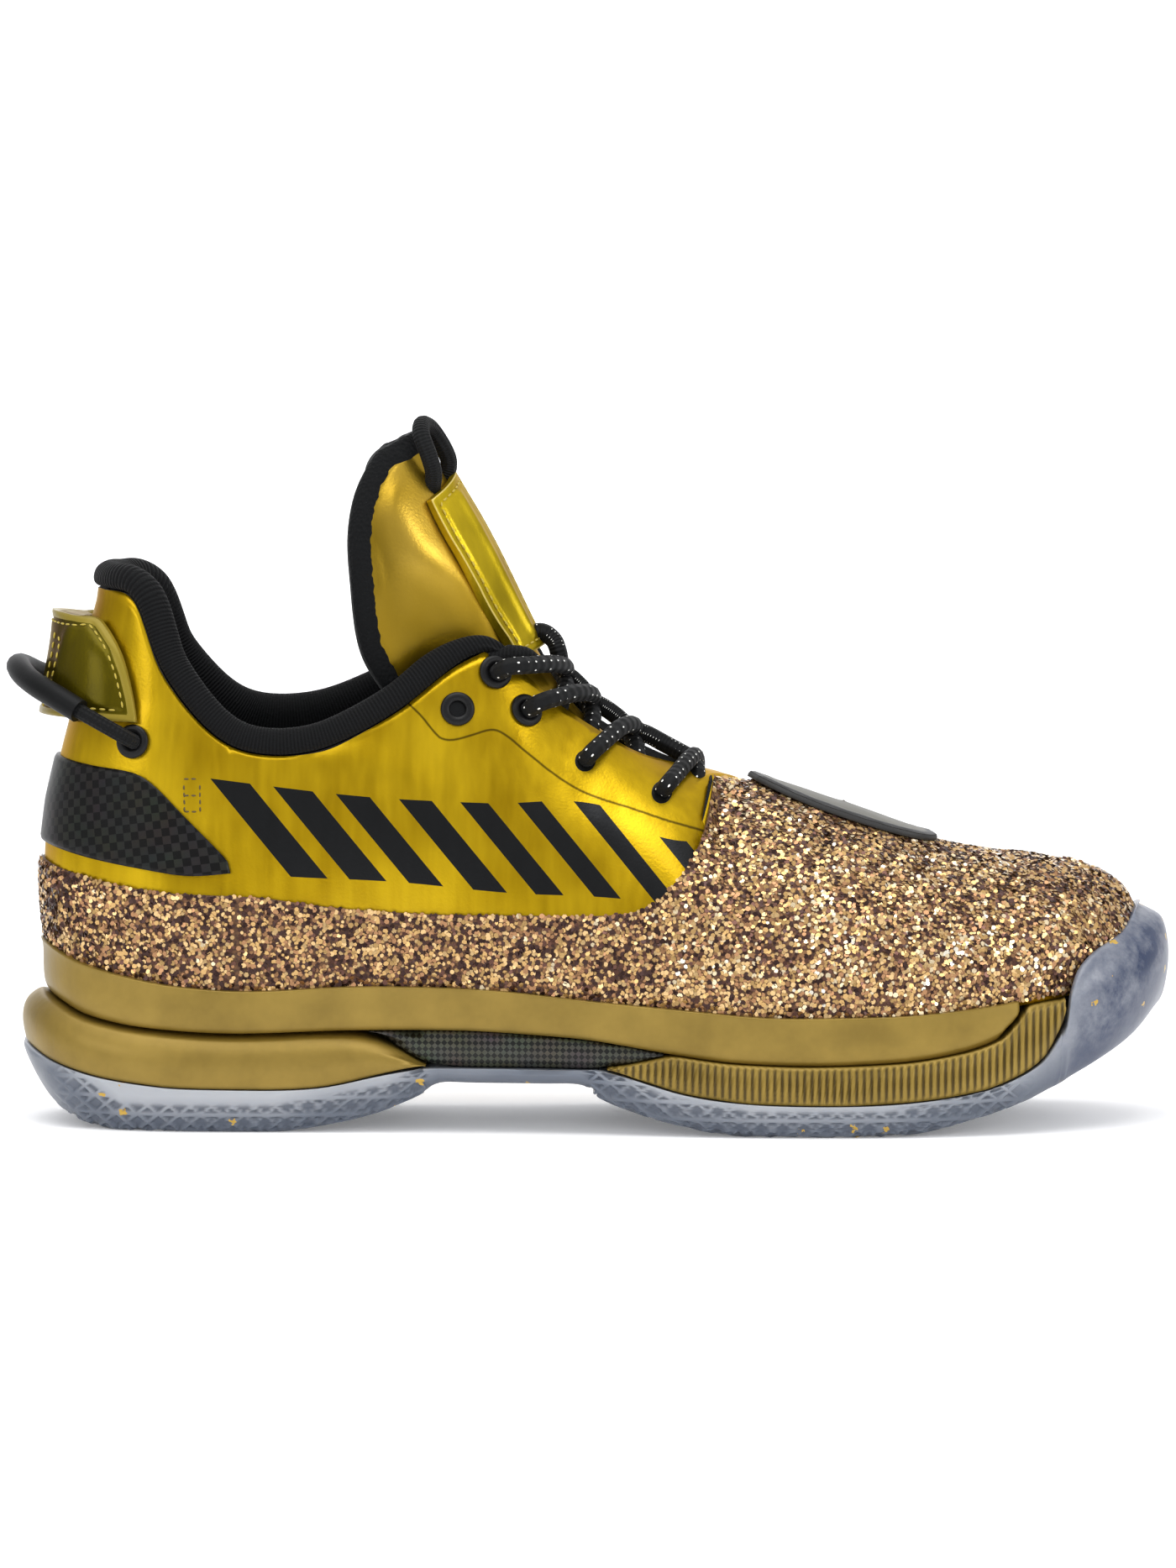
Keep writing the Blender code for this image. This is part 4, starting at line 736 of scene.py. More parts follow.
# Foil flakes: each has one flat tone, and dark ones gather in soft patches.
foil, foil_tree, foil_shader = new_material("glitter_foil", {"Metallic": 0.75, "Roughness": 0.22})
foil_place = add(foil_tree, "ShaderNodeTexCoord")
foil_patch = add(foil_tree, "ShaderNodeTexNoise", {"Scale": 1 / 0.014, "Detail": 2.0},
                 {"Vector": foil_place.outputs["Object"]})
foil_tone = add(foil_tree, "ShaderNodeAttribute", {"attribute_name": "tone"})
foil_axes = add(foil_tree, "ShaderNodeSeparateXYZ", None, {0: foil_place.outputs["Object"]})
foil_front = add(foil_tree, "ShaderNodeMapRange",
                 {"From Min": -0.03, "From Max": 0.06, "To Min": 0.05, "To Max": 0.19},
                 {"Value": foil_axes.outputs["X"]})
foil_dark = add(foil_tree, "ShaderNodeMath", {"operation": "MULTIPLY_ADD", 1: -0.55},
                {0: foil_patch.outputs["Fac"], 2: foil_front.outputs[0]})
foil_pick = add(foil_tree, "ShaderNodeMath", {"operation": "ADD"},
                {0: foil_tone.outputs["Fac"], 1: foil_dark.outputs[0]})
foil_tint = add(foil_tree, "ShaderNodeValToRGB", None, {0: foil_pick.outputs[0]})
foil_tint.color_ramp.interpolation = "CONSTANT"
foil_tint.color_ramp.elements[0].color = linear("#3E2A26")
foil_tint.color_ramp.elements[1].position = 0.92
foil_tint.color_ramp.elements[1].color = linear("#FFF8E8")
for position, code in ((0.07, "#5E4036"), (0.17, "#A47A56"), (0.38, "#C6A068"), (0.62, "#D8B580"),
                       (0.82, "#F0DCB6")):
    foil_tint.color_ramp.elements.new(position).color = linear(code)
foil_tree.links.new(foil_tint.outputs[0], foil_shader.inputs["Base Color"])

glitter_form = merged_copy("glitter_overlay")
mark_face(glitter_form, Vector((0.03, -0.06, 0.045)), 50)
glitter_mesh = rounded(glitter_form, 2, 50)
swell_heel(glitter_mesh)
TOE_BOX_LIFT_MM = 1.8          # how far the cloth is pushed up over the toes
vamp_x = points_of(glitter_mesh)[:, 0]
over_toes = smooth_step(vamp_x, 86, 122) * (1 - smooth_step(vamp_x, 139, 147))
push(glitter_mesh, TOE_BOX_LIFT_MM * over_toes * smooth_step(normals_of(glitter_mesh)[:, 2], 0.0, 0.4))
HEEL_BAND_SEAM = -91.4         # where the heel's length of cloth meets the side's
FLAKE_MM = 0.68                # half width of one flake
FLAKE_APART_MM = 0.75
FLAKE_LIFT_MM = 0.22           # how far the flakes stand off the cloth
strewn_form = bmesh.new()
strewn_form.from_mesh(glitter_mesh)
bmesh.ops.delete(strewn_form, geom=[f for f in strewn_form.faces if f.material_index == 1], context="FACES")
strewn_mesh = mesh_from(strewn_form, "glitter_flakes")
push(strewn_mesh, np.full(len(strewn_mesh.vertices), FLAKE_LIFT_MM))
flaking = bpy.data.node_groups.new("flaking", "GeometryNodeTree")
flaking.interface.new_socket("Geometry", in_out="INPUT", socket_type="NodeSocketGeometry")
flaking.interface.new_socket("Geometry", in_out="OUTPUT", socket_type="NodeSocketGeometry")
flake_base = add(flaking, "NodeGroupInput")
strewing = add(flaking, "GeometryNodeDistributePointsOnFaces",
               {"distribute_method": "POISSON", "Distance Min": FLAKE_APART_MM * MM, "Density Max": 6.0e6,
                "Seed": 4},
               {"Mesh": flake_base.outputs[0]})
flake_spot = add(flaking, "GeometryNodeInputPosition")
flake_axes = add(flaking, "ShaderNodeSeparateXYZ", None, {0: flake_spot.outputs[0]})
flake_off = add(flaking, "ShaderNodeMath", {"operation": "COMPARE", 1: HEEL_BAND_SEAM * MM, 2: 0.55 * MM},
                {0: flake_axes.outputs[0]})
seamed = add(flaking, "GeometryNodeDeleteGeometry", None,
             {"Geometry": strewing.outputs["Points"], "Selection": flake_off.outputs[0]})
flake_lean = add(flaking, "FunctionNodeRandomValue",
                 {"data_type": "FLOAT_VECTOR", 0: (-0.42, -0.42, 0.0), 1: (0.42, 0.42, 6.28), "Seed": 2})
flake_euler = add(flaking, "FunctionNodeEulerToRotation", None, {0: flake_lean.outputs[0]})
flake_turn = add(flaking, "FunctionNodeRotateRotation", {"rotation_space": "LOCAL"},
                 {0: strewing.outputs["Rotation"], 1: flake_euler.outputs[0]})
flake_size = add(flaking, "FunctionNodeRandomValue", {2: 0.65, 3: 1.2, "Seed": 3})
flake_disc = add(flaking, "GeometryNodeMeshCircle",
                 {"fill_type": "NGON", "Vertices": 6, "Radius": FLAKE_MM * MM})
flake_set = add(flaking, "GeometryNodeInstanceOnPoints", None,
                {"Points": seamed.outputs[0], "Instance": flake_disc.outputs[0],
                 "Rotation": flake_turn.outputs[0], "Scale": flake_size.outputs[1]})
flake_chance = add(flaking, "FunctionNodeRandomValue", {"Seed": 9})
flake_toned = add(flaking, "GeometryNodeStoreNamedAttribute", {"domain": "INSTANCE", "Name": "tone"},
                  {"Geometry": flake_set.outputs[0], "Value": flake_chance.outputs[1]})
flake_real = add(flaking, "GeometryNodeRealizeInstances", None, {0: flake_toned.outputs[0]})
add(flaking, "NodeGroupOutput", None, {0: flake_real.outputs[0]})
strewn = bpy.data.objects.new("strewn", strewn_mesh)
scene.collection.objects.link(strewn)
strewn.modifiers.new("flaking", "NODES").node_group = flaking
flake_mesh = settled_mesh(strewn)
bpy.data.objects.remove(strewn)
flake_mesh.materials.clear()
SEAM_DIP_MM = 0.5              # how far the cloth dips at that seam
SEAM_HALF_MM = 1.2
seam_away = points_of(glitter_mesh)[:, 0] - HEEL_BAND_SEAM
push(glitter_mesh, -SEAM_DIP_MM * np.exp(-(seam_away / SEAM_HALF_MM) ** 2))
place_piece("glitter_cloth", glitter_mesh, [glue, glue], ["glitter_overlay"])
place_piece("glitter_flakes", flake_mesh, foil)
flake_mesh.shade_flat()


# Heel counter: a stiff shell of checked fibre under a clear coat, glued round the heel.
# Its cells are larger and darker than the plate's, and their rows run round the heel.
counter_weave = woven_check("checked_fibre_shell", "#0A0A09", "#262623", 2.1, 8, 0.12)
counter_mesh = rounded(merged_copy("heel_counter"), 3, 50, 0.4)
swell_heel(counter_mesh)
counter_at = points_of(counter_mesh)
HEEL_CENTRE = (-108.0, 1.3)
HEEL_RADIUS = 34.0
counter_turn = np.arctan2(counter_at[:, 1] - HEEL_CENTRE[1], HEEL_CENTRE[0] - counter_at[:, 0])
keep_flat(counter_mesh, "weave_at", counter_turn * HEEL_RADIUS, counter_at[:, 2])
place_piece("checked_heel_counter", counter_mesh, counter_weave, ["heel_counter"])


# Collar padding: a roll of foam in black rib knit, sewn round the collar. Its ribs run over the roll,
# and it thins out to a tip at each front end.
def along_line(points, line):
    """How far along a line each point lies."""
    steps = np.linalg.norm(np.diff(line, axis=0), axis=1)
    reach = np.concatenate([[0], np.cumsum(steps)])
    near = np.array([np.argmin(((line - p) ** 2).sum(axis=1)) for p in points])
    run = np.gradient(line, reach, axis=0)
    off = points - line[near]
    return reach[near] + (off * run[near]).sum(axis=1)


def on_side(route, sign):
    """A route of x, distance from the middle and z, laid on the outer side (-1) or the inner (1)."""
    return [(x, SHOE_MIDDLE + sign * y, z) for x, y, z in route]


# Rib knit: round black ribs with a fine stitch on each.
def rib_knit(name, colour, pitch_mm, depth):
    """Knit whose ribs follow the value rib_at, at a pitch and depth."""
    made, tree, shader = new_material(name, {"Roughness": 0.85, "Sheen Weight": 0.03, "Sheen Roughness": 0.4,
                                             "Specular IOR Level": 0.16})
    rib_at = add(tree, "ShaderNodeAttribute", {"attribute_name": "rib_at"})
    rib_turn = add(tree, "ShaderNodeMath", {"operation": "MULTIPLY", 1: 2 * math.pi / pitch_mm},
                   {0: rib_at.outputs["Fac"]})
    rib_wave = add(tree, "ShaderNodeMath", {"operation": "SINE"}, {0: rib_turn.outputs[0]})
    place = add(tree, "ShaderNodeTexCoord")
    loops = add(tree, "ShaderNodeTexVoronoi", {"Scale": 1 / 0.0007}, {"Vector": place.outputs["Object"]})
    relief = add(tree, "ShaderNodeMath", {"operation": "MULTIPLY_ADD", 1: 1.1},
                 {0: loops.outputs["Distance"], 2: rib_wave.outputs[0]})
    bump = add(tree, "ShaderNodeBump", {"Strength": 0.8, "Distance": depth}, {"Height": relief.outputs[0]})
    tree.links.new(bump.outputs["Normal"], shader.inputs["Normal"])
    # The valleys between the ribs are painted darker: painted shade.
    shade = add(tree, "ShaderNodeMapRange", {"From Min": -1.0, "To Min": 0.0, "To Max": 1.0},
                {"Value": rib_wave.outputs[0]})
    tint = add(tree, "ShaderNodeMix", {"data_type": "RGBA", 6: linear("#060607"), 7: linear(colour)},
               {0: shade.outputs[0]})
    tree.links.new(tint.outputs[2], shader.inputs["Base Color"])
    return made


COLLAR_HALF = ((-27, 25.5, 124.5), (-46.5, 31, 111.5), (-70, 33, 99.4), (-93, 31, 100.3), (-110, 27, 117.5),
               (-118.5, 21, 137.5), (-126.5, 12.5, 140.5), (-129, 0, 140.5))
SHOE_MIDDLE = 1.27             # the heel's seam lies this far to the inner side of the frame's middle
collar_line = flowing(on_side(COLLAR_HALF, -1) + on_side(COLLAR_HALF[-2::-1], 1), 30)
collar_mesh = rounded(merged_copy("collar_padding"), 3, 70)
keep_value(collar_mesh, "rib_at", along_line(points_of(collar_mesh), collar_line))
collar_knit = rib_knit("black_rib_knit", "#101112", 1.0, 0.00016)
collar = place_piece("knit_collar", collar_mesh, collar_knit, ["collar_padding"])


def cord_mesh(name, route, radius_mm, sides=4, taper=(1, 1)):
    """A round cord along a route in millimetres, with its own map: v along it and u around it."""
    curve = bpy.data.curves.new(name, "CURVE")
    curve.dimensions = "3D"
    curve.bevel_depth = radius_mm * MM
    curve.bevel_resolution = sides
    curve.use_fill_caps = True
    points = flowing(route, 8) * MM
    spline = curve.splines.new("POLY")
    spline.points.add(len(points) - 1)
    spline.points.foreach_set("co", np.hstack([points, np.ones((len(points), 1))]).ravel())
    thick = np.interp(np.linspace(0, 1, len(points)), np.linspace(0, 1, len(taper)), taper)
    spline.points.foreach_set("radius", thick)
    holder = bpy.data.objects.new(name, curve)
    scene.collection.objects.link(holder)
    made = settled_mesh(holder)
    bpy.data.objects.remove(holder)
    return made


# A tip's route on the outer side, and its thickness along it.
COLLAR_TIP = ((-26.0, 25.0, 122.6), (-20.5, 21.6, 123.0), (-16.8, 19.6, 122.8), (-14.0, 18.4, 121.6),
              (-12.0, 17.6, 119.8))
TIP_TAPER = (0.5, 0.95, 0.85, 0.6, 0.25)
TIP_RADIUS = 3.6
for side, sign in (("lateral", -1), ("medial", 1)):
    tip_mesh = cord_mesh("tip", on_side(COLLAR_TIP, sign), TIP_RADIUS, 5, TIP_TAPER)
    keep_value(tip_mesh, "rib_at", points_of(tip_mesh)[:, 0])
    place_piece("collar_tip_" + side, tip_mesh, collar_knit)


# Tongue: foam in black knit, faced with gold film. The knit turns over the edge as a padded
# border, and the film's own edge lies on it in small puckers.
def boundary_of(form, faces, cuts=24):
    """Points along the edges where a set of faces ends, in millimetres."""
    spots = []
    for edge in form.edges:
        inside = [f in faces for f in edge.link_faces]
        if any(inside) and not all(inside):
            a, b = edge.verts
            spots += [a.co.lerp(b.co, k / cuts) / MM for k in range(cuts)]
    return np.array(spots)


def gap_to(points, spots):
    """Distance of each point from the nearest of the spots."""
    return np.array([math.sqrt(((spots - p) ** 2).sum(axis=1).min()) for p in points])


tongue_form = merged_copy("tongue")
tongue_face = mark_face(tongue_form, Vector((-0.005, 0.001, 0.13)), 34)
tongue_rim = boundary_of(tongue_form, tongue_face)
tongue_mesh = rounded(tongue_form, 3, 120)
tongue_at = points_of(tongue_mesh)
TONGUE_BORDER = 5.6            # width of the knit border on the face
tongue_outer = first_points(tongue_mesh)
rim_gap = np.where(tongue_outer, gap_to(tongue_at, tongue_rim), 0.0)
pucker = 0.18 * np.sin(tongue_at[:, 2] * 1.4) + 0.12 * np.sin(tongue_at[:, 2] * 3.3 + 1)
keep_value(tongue_mesh, "film", rim_gap - TONGUE_BORDER + pucker)
keep_value(tongue_mesh, "rib_at", tongue_at[:, 2])
film_rise = smooth_step(rim_gap, TONGUE_BORDER - 0.3, TONGUE_BORDER + 0.5)
border_puff = np.sqrt(np.clip(1 - ((rim_gap - TONGUE_BORDER / 2) / (TONGUE_BORDER / 2)) ** 2, 0, 1))
# A soft ridge runs down beside the lace keeper, with a hollow behind it: x and z, half width and lift.
TONGUE_FOLDS = ((((-52.8, 163.5), (-45.6, 152.7), (-39.2, 147.5), (-32, 141), (-25.7, 133.5)), 5.5, 0.9),
                (((-57, 152), (-51, 143), (-44, 136), (-37, 130)), 7.5, -0.9))
tongue_side = tongue_at[:, [0, 2]]
fold_lift = np.zeros(len(tongue_at))
for path, wide, high in TONGUE_FOLDS:
    fold_lift += high * np.exp(-(from_line(tongue_side, flowing(path)) / wide) ** 2)
fold_lift *= smooth_step(rim_gap, TONGUE_BORDER, TONGUE_BORDER + 5)
push(tongue_mesh, np.where(tongue_outer, 0.35 * film_rise + 0.9 * border_puff + fold_lift, 0.0))
tongue_gold, tongue_tree, tongue_shader, tongue_tint = gold_foil(
    "gold_film_on_foam", "#A08018", "#C6A440", 9.0)
# The film is painted darker behind the ridge: painted shade where it turns away from the light.
keep_value(tongue_mesh, "behind", smooth_step(-from_line(tongue_side, flowing(TONGUE_FOLDS[0][0])), -2, 9))
fold_shade_at = add(tongue_tree, "ShaderNodeAttribute", {"attribute_name": "behind"})
fold_shade_share = add(tongue_tree, "ShaderNodeMath", {"operation": "MULTIPLY", 1: 0.75},
                   {0: fold_shade_at.outputs["Fac"]})
fold_shade_tint = add(tongue_tree, "ShaderNodeMix", {"data_type": "RGBA", 7: linear("#6E5804")},
                  {0: fold_shade_share.outputs[0], 6: tongue_tint.outputs[0]})
tongue_tree.links.new(fold_shade_tint.outputs[2], tongue_shader.inputs["Base Color"])
film_at = add(tongue_tree, "ShaderNodeAttribute", {"attribute_name": "film"})
film_here = add(tongue_tree, "ShaderNodeMath", {"operation": "GREATER_THAN", 1: 0.0},
                {0: film_at.outputs["Fac"]})
# Border knit: dull black loops.
border_shader = add(tongue_tree, "ShaderNodeBsdfPrincipled", {
    "Base Color": linear("#0C0D0E"), "Roughness": 0.88, "Sheen Weight": 0.03, "Specular IOR Level": 0.15})
border_place = add(tongue_tree, "ShaderNodeTexCoord")
border_loops = add(tongue_tree, "ShaderNodeTexVoronoi", {"Scale": 1 / 0.001},
                   {"Vector": border_place.outputs["Object"]})
border_bump = add(tongue_tree, "ShaderNodeBump", {"Strength": 0.9, "Distance": 0.0004},
                  {"Height": border_loops.outputs["Distance"]})
tongue_tree.links.new(border_bump.outputs["Normal"], border_shader.inputs["Normal"])
faced = add(tongue_tree, "ShaderNodeMixShader", None,
            {0: film_here.outputs[0], 1: border_shader.outputs[0], 2: tongue_shader.outputs[0]})
tongue_tree.links.new(faced.outputs[0], tongue_tree.nodes["Material Output"].inputs["Surface"])
tongue = place_piece("padded_tongue", tongue_mesh, [tongue_gold, lining], ["tongue"])


# Lace keeper: a folded strip of olive film sewn down the front of the tongue, with a round ridge
# down its middle and its cut edges left pale.
def edge_film(name, deep, bright, pale, edge_mm):
    """Film whose cut edge shows the pale cloth under it."""
    made, tree, shader, tint = gold_foil(name, deep, bright, 4.0)
    cut_at = add(tree, "ShaderNodeAttribute", {"attribute_name": "cut"})
    cut_here = add(tree, "ShaderNodeMath", {"operation": "LESS_THAN", 1: edge_mm}, {0: cut_at.outputs["Fac"]})
    cut_tint = add(tree, "ShaderNodeMix", {"data_type": "RGBA", 7: linear(pale)},
                   {0: cut_here.outputs[0], 6: tint.outputs[0]})
    tree.links.new(cut_tint.outputs[2], shader.inputs["Base Color"])
    metal = add(tree, "ShaderNodeMath", {"operation": "MULTIPLY_ADD", 1: -0.7, 2: 0.8},
                {0: cut_here.outputs[0]})
    tree.links.new(metal.outputs[0], shader.inputs["Metallic"])
    return made


def rim_of(mesh):
    """The closed line where the faces with a mesh's first material end, point by point, in millimetres."""
    uses = {}
    for polygon in mesh.polygons:
        if polygon.material_index == 0:
            for pair in polygon.edge_keys:
                uses[pair] = uses.get(pair, 0) + 1
    links = {}
    for (a, b), count in uses.items():
        if count == 1:
            links.setdefault(a, []).append(b)
            links.setdefault(b, []).append(a)
    here = next(iter(links))
    loop, seen = [], set()
    while here is not None:
        loop.append(mesh.vertices[here].co / MM)
        seen.add(here)
        here = next((corner for corner in links[here] if corner not in seen), None)
    return np.array(loop + loop[:1])


def face_tree(mesh):
    """A search tree of the faces that carry a mesh's first material."""
    return BVHTree.FromPolygons([v.co for v in mesh.vertices],
                                [p.vertices for p in mesh.polygons if p.material_index == 0])


def on_surface(tree, spots):
    """The places on a surface nearest to the spots, and the way that it faces there."""
    found = [tree.find_nearest(Vector(spot) * MM) for spot in spots]
    return np.array([f[0] for f in found]) / MM, np.array([f[1] for f in found])


def sewn_inside(tree, loop, inset_mm):
    """A row on a surface that keeps inset_mm inside its rim."""
    steps = np.concatenate([[0], np.cumsum(np.linalg.norm(np.diff(loop, axis=0), axis=1))])
    along = np.arange(0, steps[-1], 0.5)
    rim = np.stack([np.interp(along, steps, loop[:, k]) for k in range(3)], axis=1)
    run = np.roll(rim, -1, axis=0) - np.roll(rim, 1, axis=0)
    inward = np.cross(on_surface(tree, rim)[1], run / np.linalg.norm(run, axis=1)[:, None])
    rows = [on_surface(tree, rim + way * inset_mm * inward) for way in (1, -1)]
    gaps = [gap_to(row[0], rim) for row in rows]
    best = 0 if gaps[0].mean() > gaps[1].mean() else 1
    clear = gaps[best] > inset_mm - 0.3
    return rows[best][0][clear], rows[best][1][clear]


def thread_mesh(rows, stitch_mm=1.8, apart_mm=0.8, radius_mm=0.3):
    """Stitches of round thread along rows of places and facings, as one mesh."""
    form = bmesh.new()
    for line, facing in rows:
        steps = np.concatenate([[0], np.cumsum(np.linalg.norm(np.diff(line, axis=0), axis=1))])
        for start in np.arange(0, steps[-1] - stitch_mm, stitch_mm + apart_mm):
            ends = [Vector([np.interp(at, steps, line[:, k]) for k in range(3)])
                    for at in (start, start + stitch_mm)]
            middle = start + stitch_mm / 2
            out = Vector([np.interp(middle, steps, facing[:, k]) for k in range(3)]).normalized()
            run = ends[1] - ends[0]
            if run.length < 0.7 * stitch_mm:
                continue
            side = out.cross(run).normalized() * radius_mm
            shape = Matrix((side, out * radius_mm, run / 2)).transposed().to_4x4()
            shape.translation = (ends[0] + ends[1]) / 2 + out * radius_mm * 0.4
            bmesh.ops.create_uvsphere(form, u_segments=6, v_segments=5, radius=1.0,
                                      matrix=Matrix.Scale(MM, 4) @ shape)
    return mesh_from(form, "thread")


# Sewing thread: twisted polyester with a silky shine.
def sewing_thread(name, colour):
    """Thread of one colour with a fine twist."""
    made, tree, shader = new_material(name,
                                      {"Base Color": linear(colour), "Roughness": 0.5, "Sheen Weight": 0.1})
    grain(tree, shader, grain_mm=0.4, strength=0.4, depth_mm=0.1, detail=1.0)
    return made


thread = sewing_thread("yellow_sewing_thread", "#A8942E")
keeper_film = edge_film("olive_keeper_film", "#8C780C", "#C4AA1E", "#BCA85A", 0.3)
strap_form = merged_copy("tongue_strap")
mark_face(strap_form, Vector((-0.02, -0.02, 0.15)), 50)
strap_mesh = rounded(strap_form, 3, 50)
strap_at = points_of(strap_mesh)
# The tongue's bend by height: half its width, and its depth.
TONGUE_HEIGHTS = (118, 123.5, 139, 154, 166, 175.5)
TONGUE_HALF = (18.5, 19.5, 23, 26, 25, 21)
TONGUE_DEPTH = (35, 37, 41, 37, 31, 23)
KEEPER_OFF_MM = 1.5            # how far the strip lies off the tongue
KEEPER_LIFT_MM = 0.8
KEEPER_ENDS = (124, 168)       # heights of its foot and its top
KEEPER_SHARE = (0.76, 0.92)    # share of the solid's width that it covers at both
KEEPER_SIDES = (-49, 1)        # where it starts and ends round the tongue's bend, in degrees
KEEPER_SLIDE_MM = 3.4          # how much lower its outer top corner lies than the solid's
strap_half = np.interp(strap_at[:, 2], TONGUE_HEIGHTS, TONGUE_HALF) + KEEPER_OFF_MM
strap_deep = np.interp(strap_at[:, 2], TONGUE_HEIGHTS, TONGUE_DEPTH) + KEEPER_OFF_MM
strap_turn = np.arcsin(np.clip((strap_at[:, 1] - SHOE_MIDDLE) / strap_half, -1, 1))
# -1 at the strip's outer side and 1 at its inner side
strap_across = (2 * np.degrees(strap_turn) - sum(KEEPER_SIDES)) / (KEEPER_SIDES[1] - KEEPER_SIDES[0])
inner_turn = math.radians(KEEPER_SIDES[1])
new_turn = inner_turn + (strap_turn - inner_turn) * np.interp(strap_at[:, 2], KEEPER_ENDS, KEEPER_SHARE)
strap_ahead = strap_deep * (np.cos(new_turn) - np.cos(strap_turn)) + KEEPER_LIFT_MM
strap_slide = np.interp(strap_at[:, 2], KEEPER_ENDS, (0, KEEPER_SLIDE_MM))
strap_slide *= np.clip((1 - strap_across) / 2, 0, 1)
# Ahead is square to the strip as it leans back, and the slide runs down along it.
strap_at += np.stack([0.87 * strap_ahead + 0.56 * strap_slide,
                      strap_half * (np.sin(new_turn) - np.sin(strap_turn)),
                      0.5 * strap_ahead - 0.83 * strap_slide], axis=1)
move_to(strap_mesh, strap_at)
strap_rim = rim_of(strap_mesh)
strap_gap = gap_to(strap_at, strap_rim)
keep_value(strap_mesh, "cut", strap_gap)
strap_front = normals_of(strap_mesh)[:, 0] > 0.05
KEEPER_SEAM_MM = 2.2           # from the rim to the row of stitches
strap_ridge = 0.9 * np.exp(-(strap_across / 0.2) ** 2) * smooth_step(strap_gap, 1.5, 5.0)
strap_sunk = 0.4 * np.exp(-((strap_gap - KEEPER_SEAM_MM) / 0.7) ** 2)
push(strap_mesh, np.where(strap_front, strap_ridge - strap_sunk, 0.0))
place_piece("film_lace_keeper", strap_mesh, [keeper_film, keeper_film], ["tongue_strap"])
keeper_rows = [sewn_inside(face_tree(strap_mesh), strap_rim, KEEPER_SEAM_MM)]
place_piece("keeper_stitches", thread_mesh(keeper_rows), thread)


# Tongue loop: a braided black cord, its two legs sewn under the lace keeper's top edge.
# Braid: bundles of black yarn that cross at a slant, read from the cord's own map.
def braid(name, colour, turns, rows, flecks):
    """Braid with bundles round and along the cord, white where a bundle stands higher than flecks."""
    made, tree, shader = new_material(name,
                                      {"Roughness": 0.7, "Sheen Weight": 0.02, "Specular IOR Level": 0.18})
    strand_at = add(tree, "ShaderNodeUVMap")
    axes = add(tree, "ShaderNodeSeparateXYZ", None, {0: strand_at.outputs[0]})
    round_at = add(tree, "ShaderNodeMath", {"operation": "MULTIPLY", 1: 2 * math.pi * turns},
                   {0: axes.outputs[1]})
    along_at = add(tree, "ShaderNodeMath", {"operation": "MULTIPLY", 1: 2 * math.pi * rows},
                   {0: axes.outputs[0]})
    lean_a = add(tree, "ShaderNodeMath", {"operation": "ADD"},
                 {0: round_at.outputs[0], 1: along_at.outputs[0]})
    lean_b = add(tree, "ShaderNodeMath", {"operation": "SUBTRACT"},
                 {0: round_at.outputs[0], 1: along_at.outputs[0]})
    wave_a = add(tree, "ShaderNodeMath", {"operation": "SINE"}, {0: lean_a.outputs[0]})
    wave_b = add(tree, "ShaderNodeMath", {"operation": "SINE"}, {0: lean_b.outputs[0]})
    weave = add(tree, "ShaderNodeMath", {"operation": "MULTIPLY"},
                {0: wave_a.outputs[0], 1: wave_b.outputs[0]})
    bump = add(tree, "ShaderNodeBump", {"Strength": 0.7, "Distance": 0.0004}, {"Height": weave.outputs[0]})
    tree.links.new(bump.outputs["Normal"], shader.inputs["Normal"])
    fleck = add(tree, "ShaderNodeMath", {"operation": "GREATER_THAN", 1: flecks}, {0: weave.outputs[0]})
    place = add(tree, "ShaderNodeTexCoord")
    chance = add(tree, "ShaderNodeTexNoise", {"Scale": 1 / 0.0035, "Detail": 0.0},
                 {"Vector": place.outputs["Object"]})
    often = add(tree, "ShaderNodeMath", {"operation": "GREATER_THAN", 1: 0.46}, {0: chance.outputs["Fac"]})
    shown = add(tree, "ShaderNodeMath", {"operation": "MULTIPLY"}, {0: fleck.outputs[0], 1: often.outputs[0]})
    tint = add(tree, "ShaderNodeMix", {"data_type": "RGBA", 6: linear(colour), 7: linear("#E9E9E4")},
               {0: shown.outputs[0]})
    tree.links.new(tint.outputs[2], shader.inputs["Base Color"])
    return made


LOOP_ROUTE = ((-41.8, -7.6, 163.0), (-40.8, -10.6, 167.2), (-40.4, -12.6, 171.0), (-41.6, -13.2, 175.5),
              (-43.6, -12.2, 181.0), (-43.4, -8.2, 183.6), (-41.0, -3.4, 182.0), (-37.6, -1.2, 176.5),
              (-36.6, -0.4, 172.4), (-38.4, 0.0, 167.5))
LOOP_RADIUS = 2.3
place_piece("braided_tongue_loop", cord_mesh("loop", LOOP_ROUTE, LOOP_RADIUS),
            braid("black_braid", "#0D0E0F", 4, 34, 2.0), ["tongue_pull_loop"])


# Heel tab: two layers of olive film sewn edge to edge, folded up the back of the heel.
# Rows of yellow thread run inside its rim and along both sides of its folds.
tab_form = merged_copy("heel_tab")
tab_face = mark_face(tab_form, Vector((-0.16, 0.001, 0.12)), 40)
tab_rim = boundary_of(tab_form, tab_face)
tab_mesh = rounded(tab_form, 3, 45)
tab_at = points_of(tab_mesh)
tab_gap = gap_to(tab_at, tab_rim)
keep_value(tab_mesh, "cut", tab_gap)
TAB_RIM_MM = 1.8               # the bound edge round the tab
TAB_FOLDS = (-15.5, 15.5)      # y of the folds beside the middle
fold = sum(np.exp(-((tab_at[:, 1] - SHOE_MIDDLE - y) / 1.6) ** 2) for y in TAB_FOLDS)
tab_sunk = 0.55 * np.exp(-((tab_gap - TAB_RIM_MM - 0.5) / 0.6) ** 2)
push(tab_mesh, 0.6 * fold * smooth_step(tab_gap, 2.5, 4) - tab_sunk)
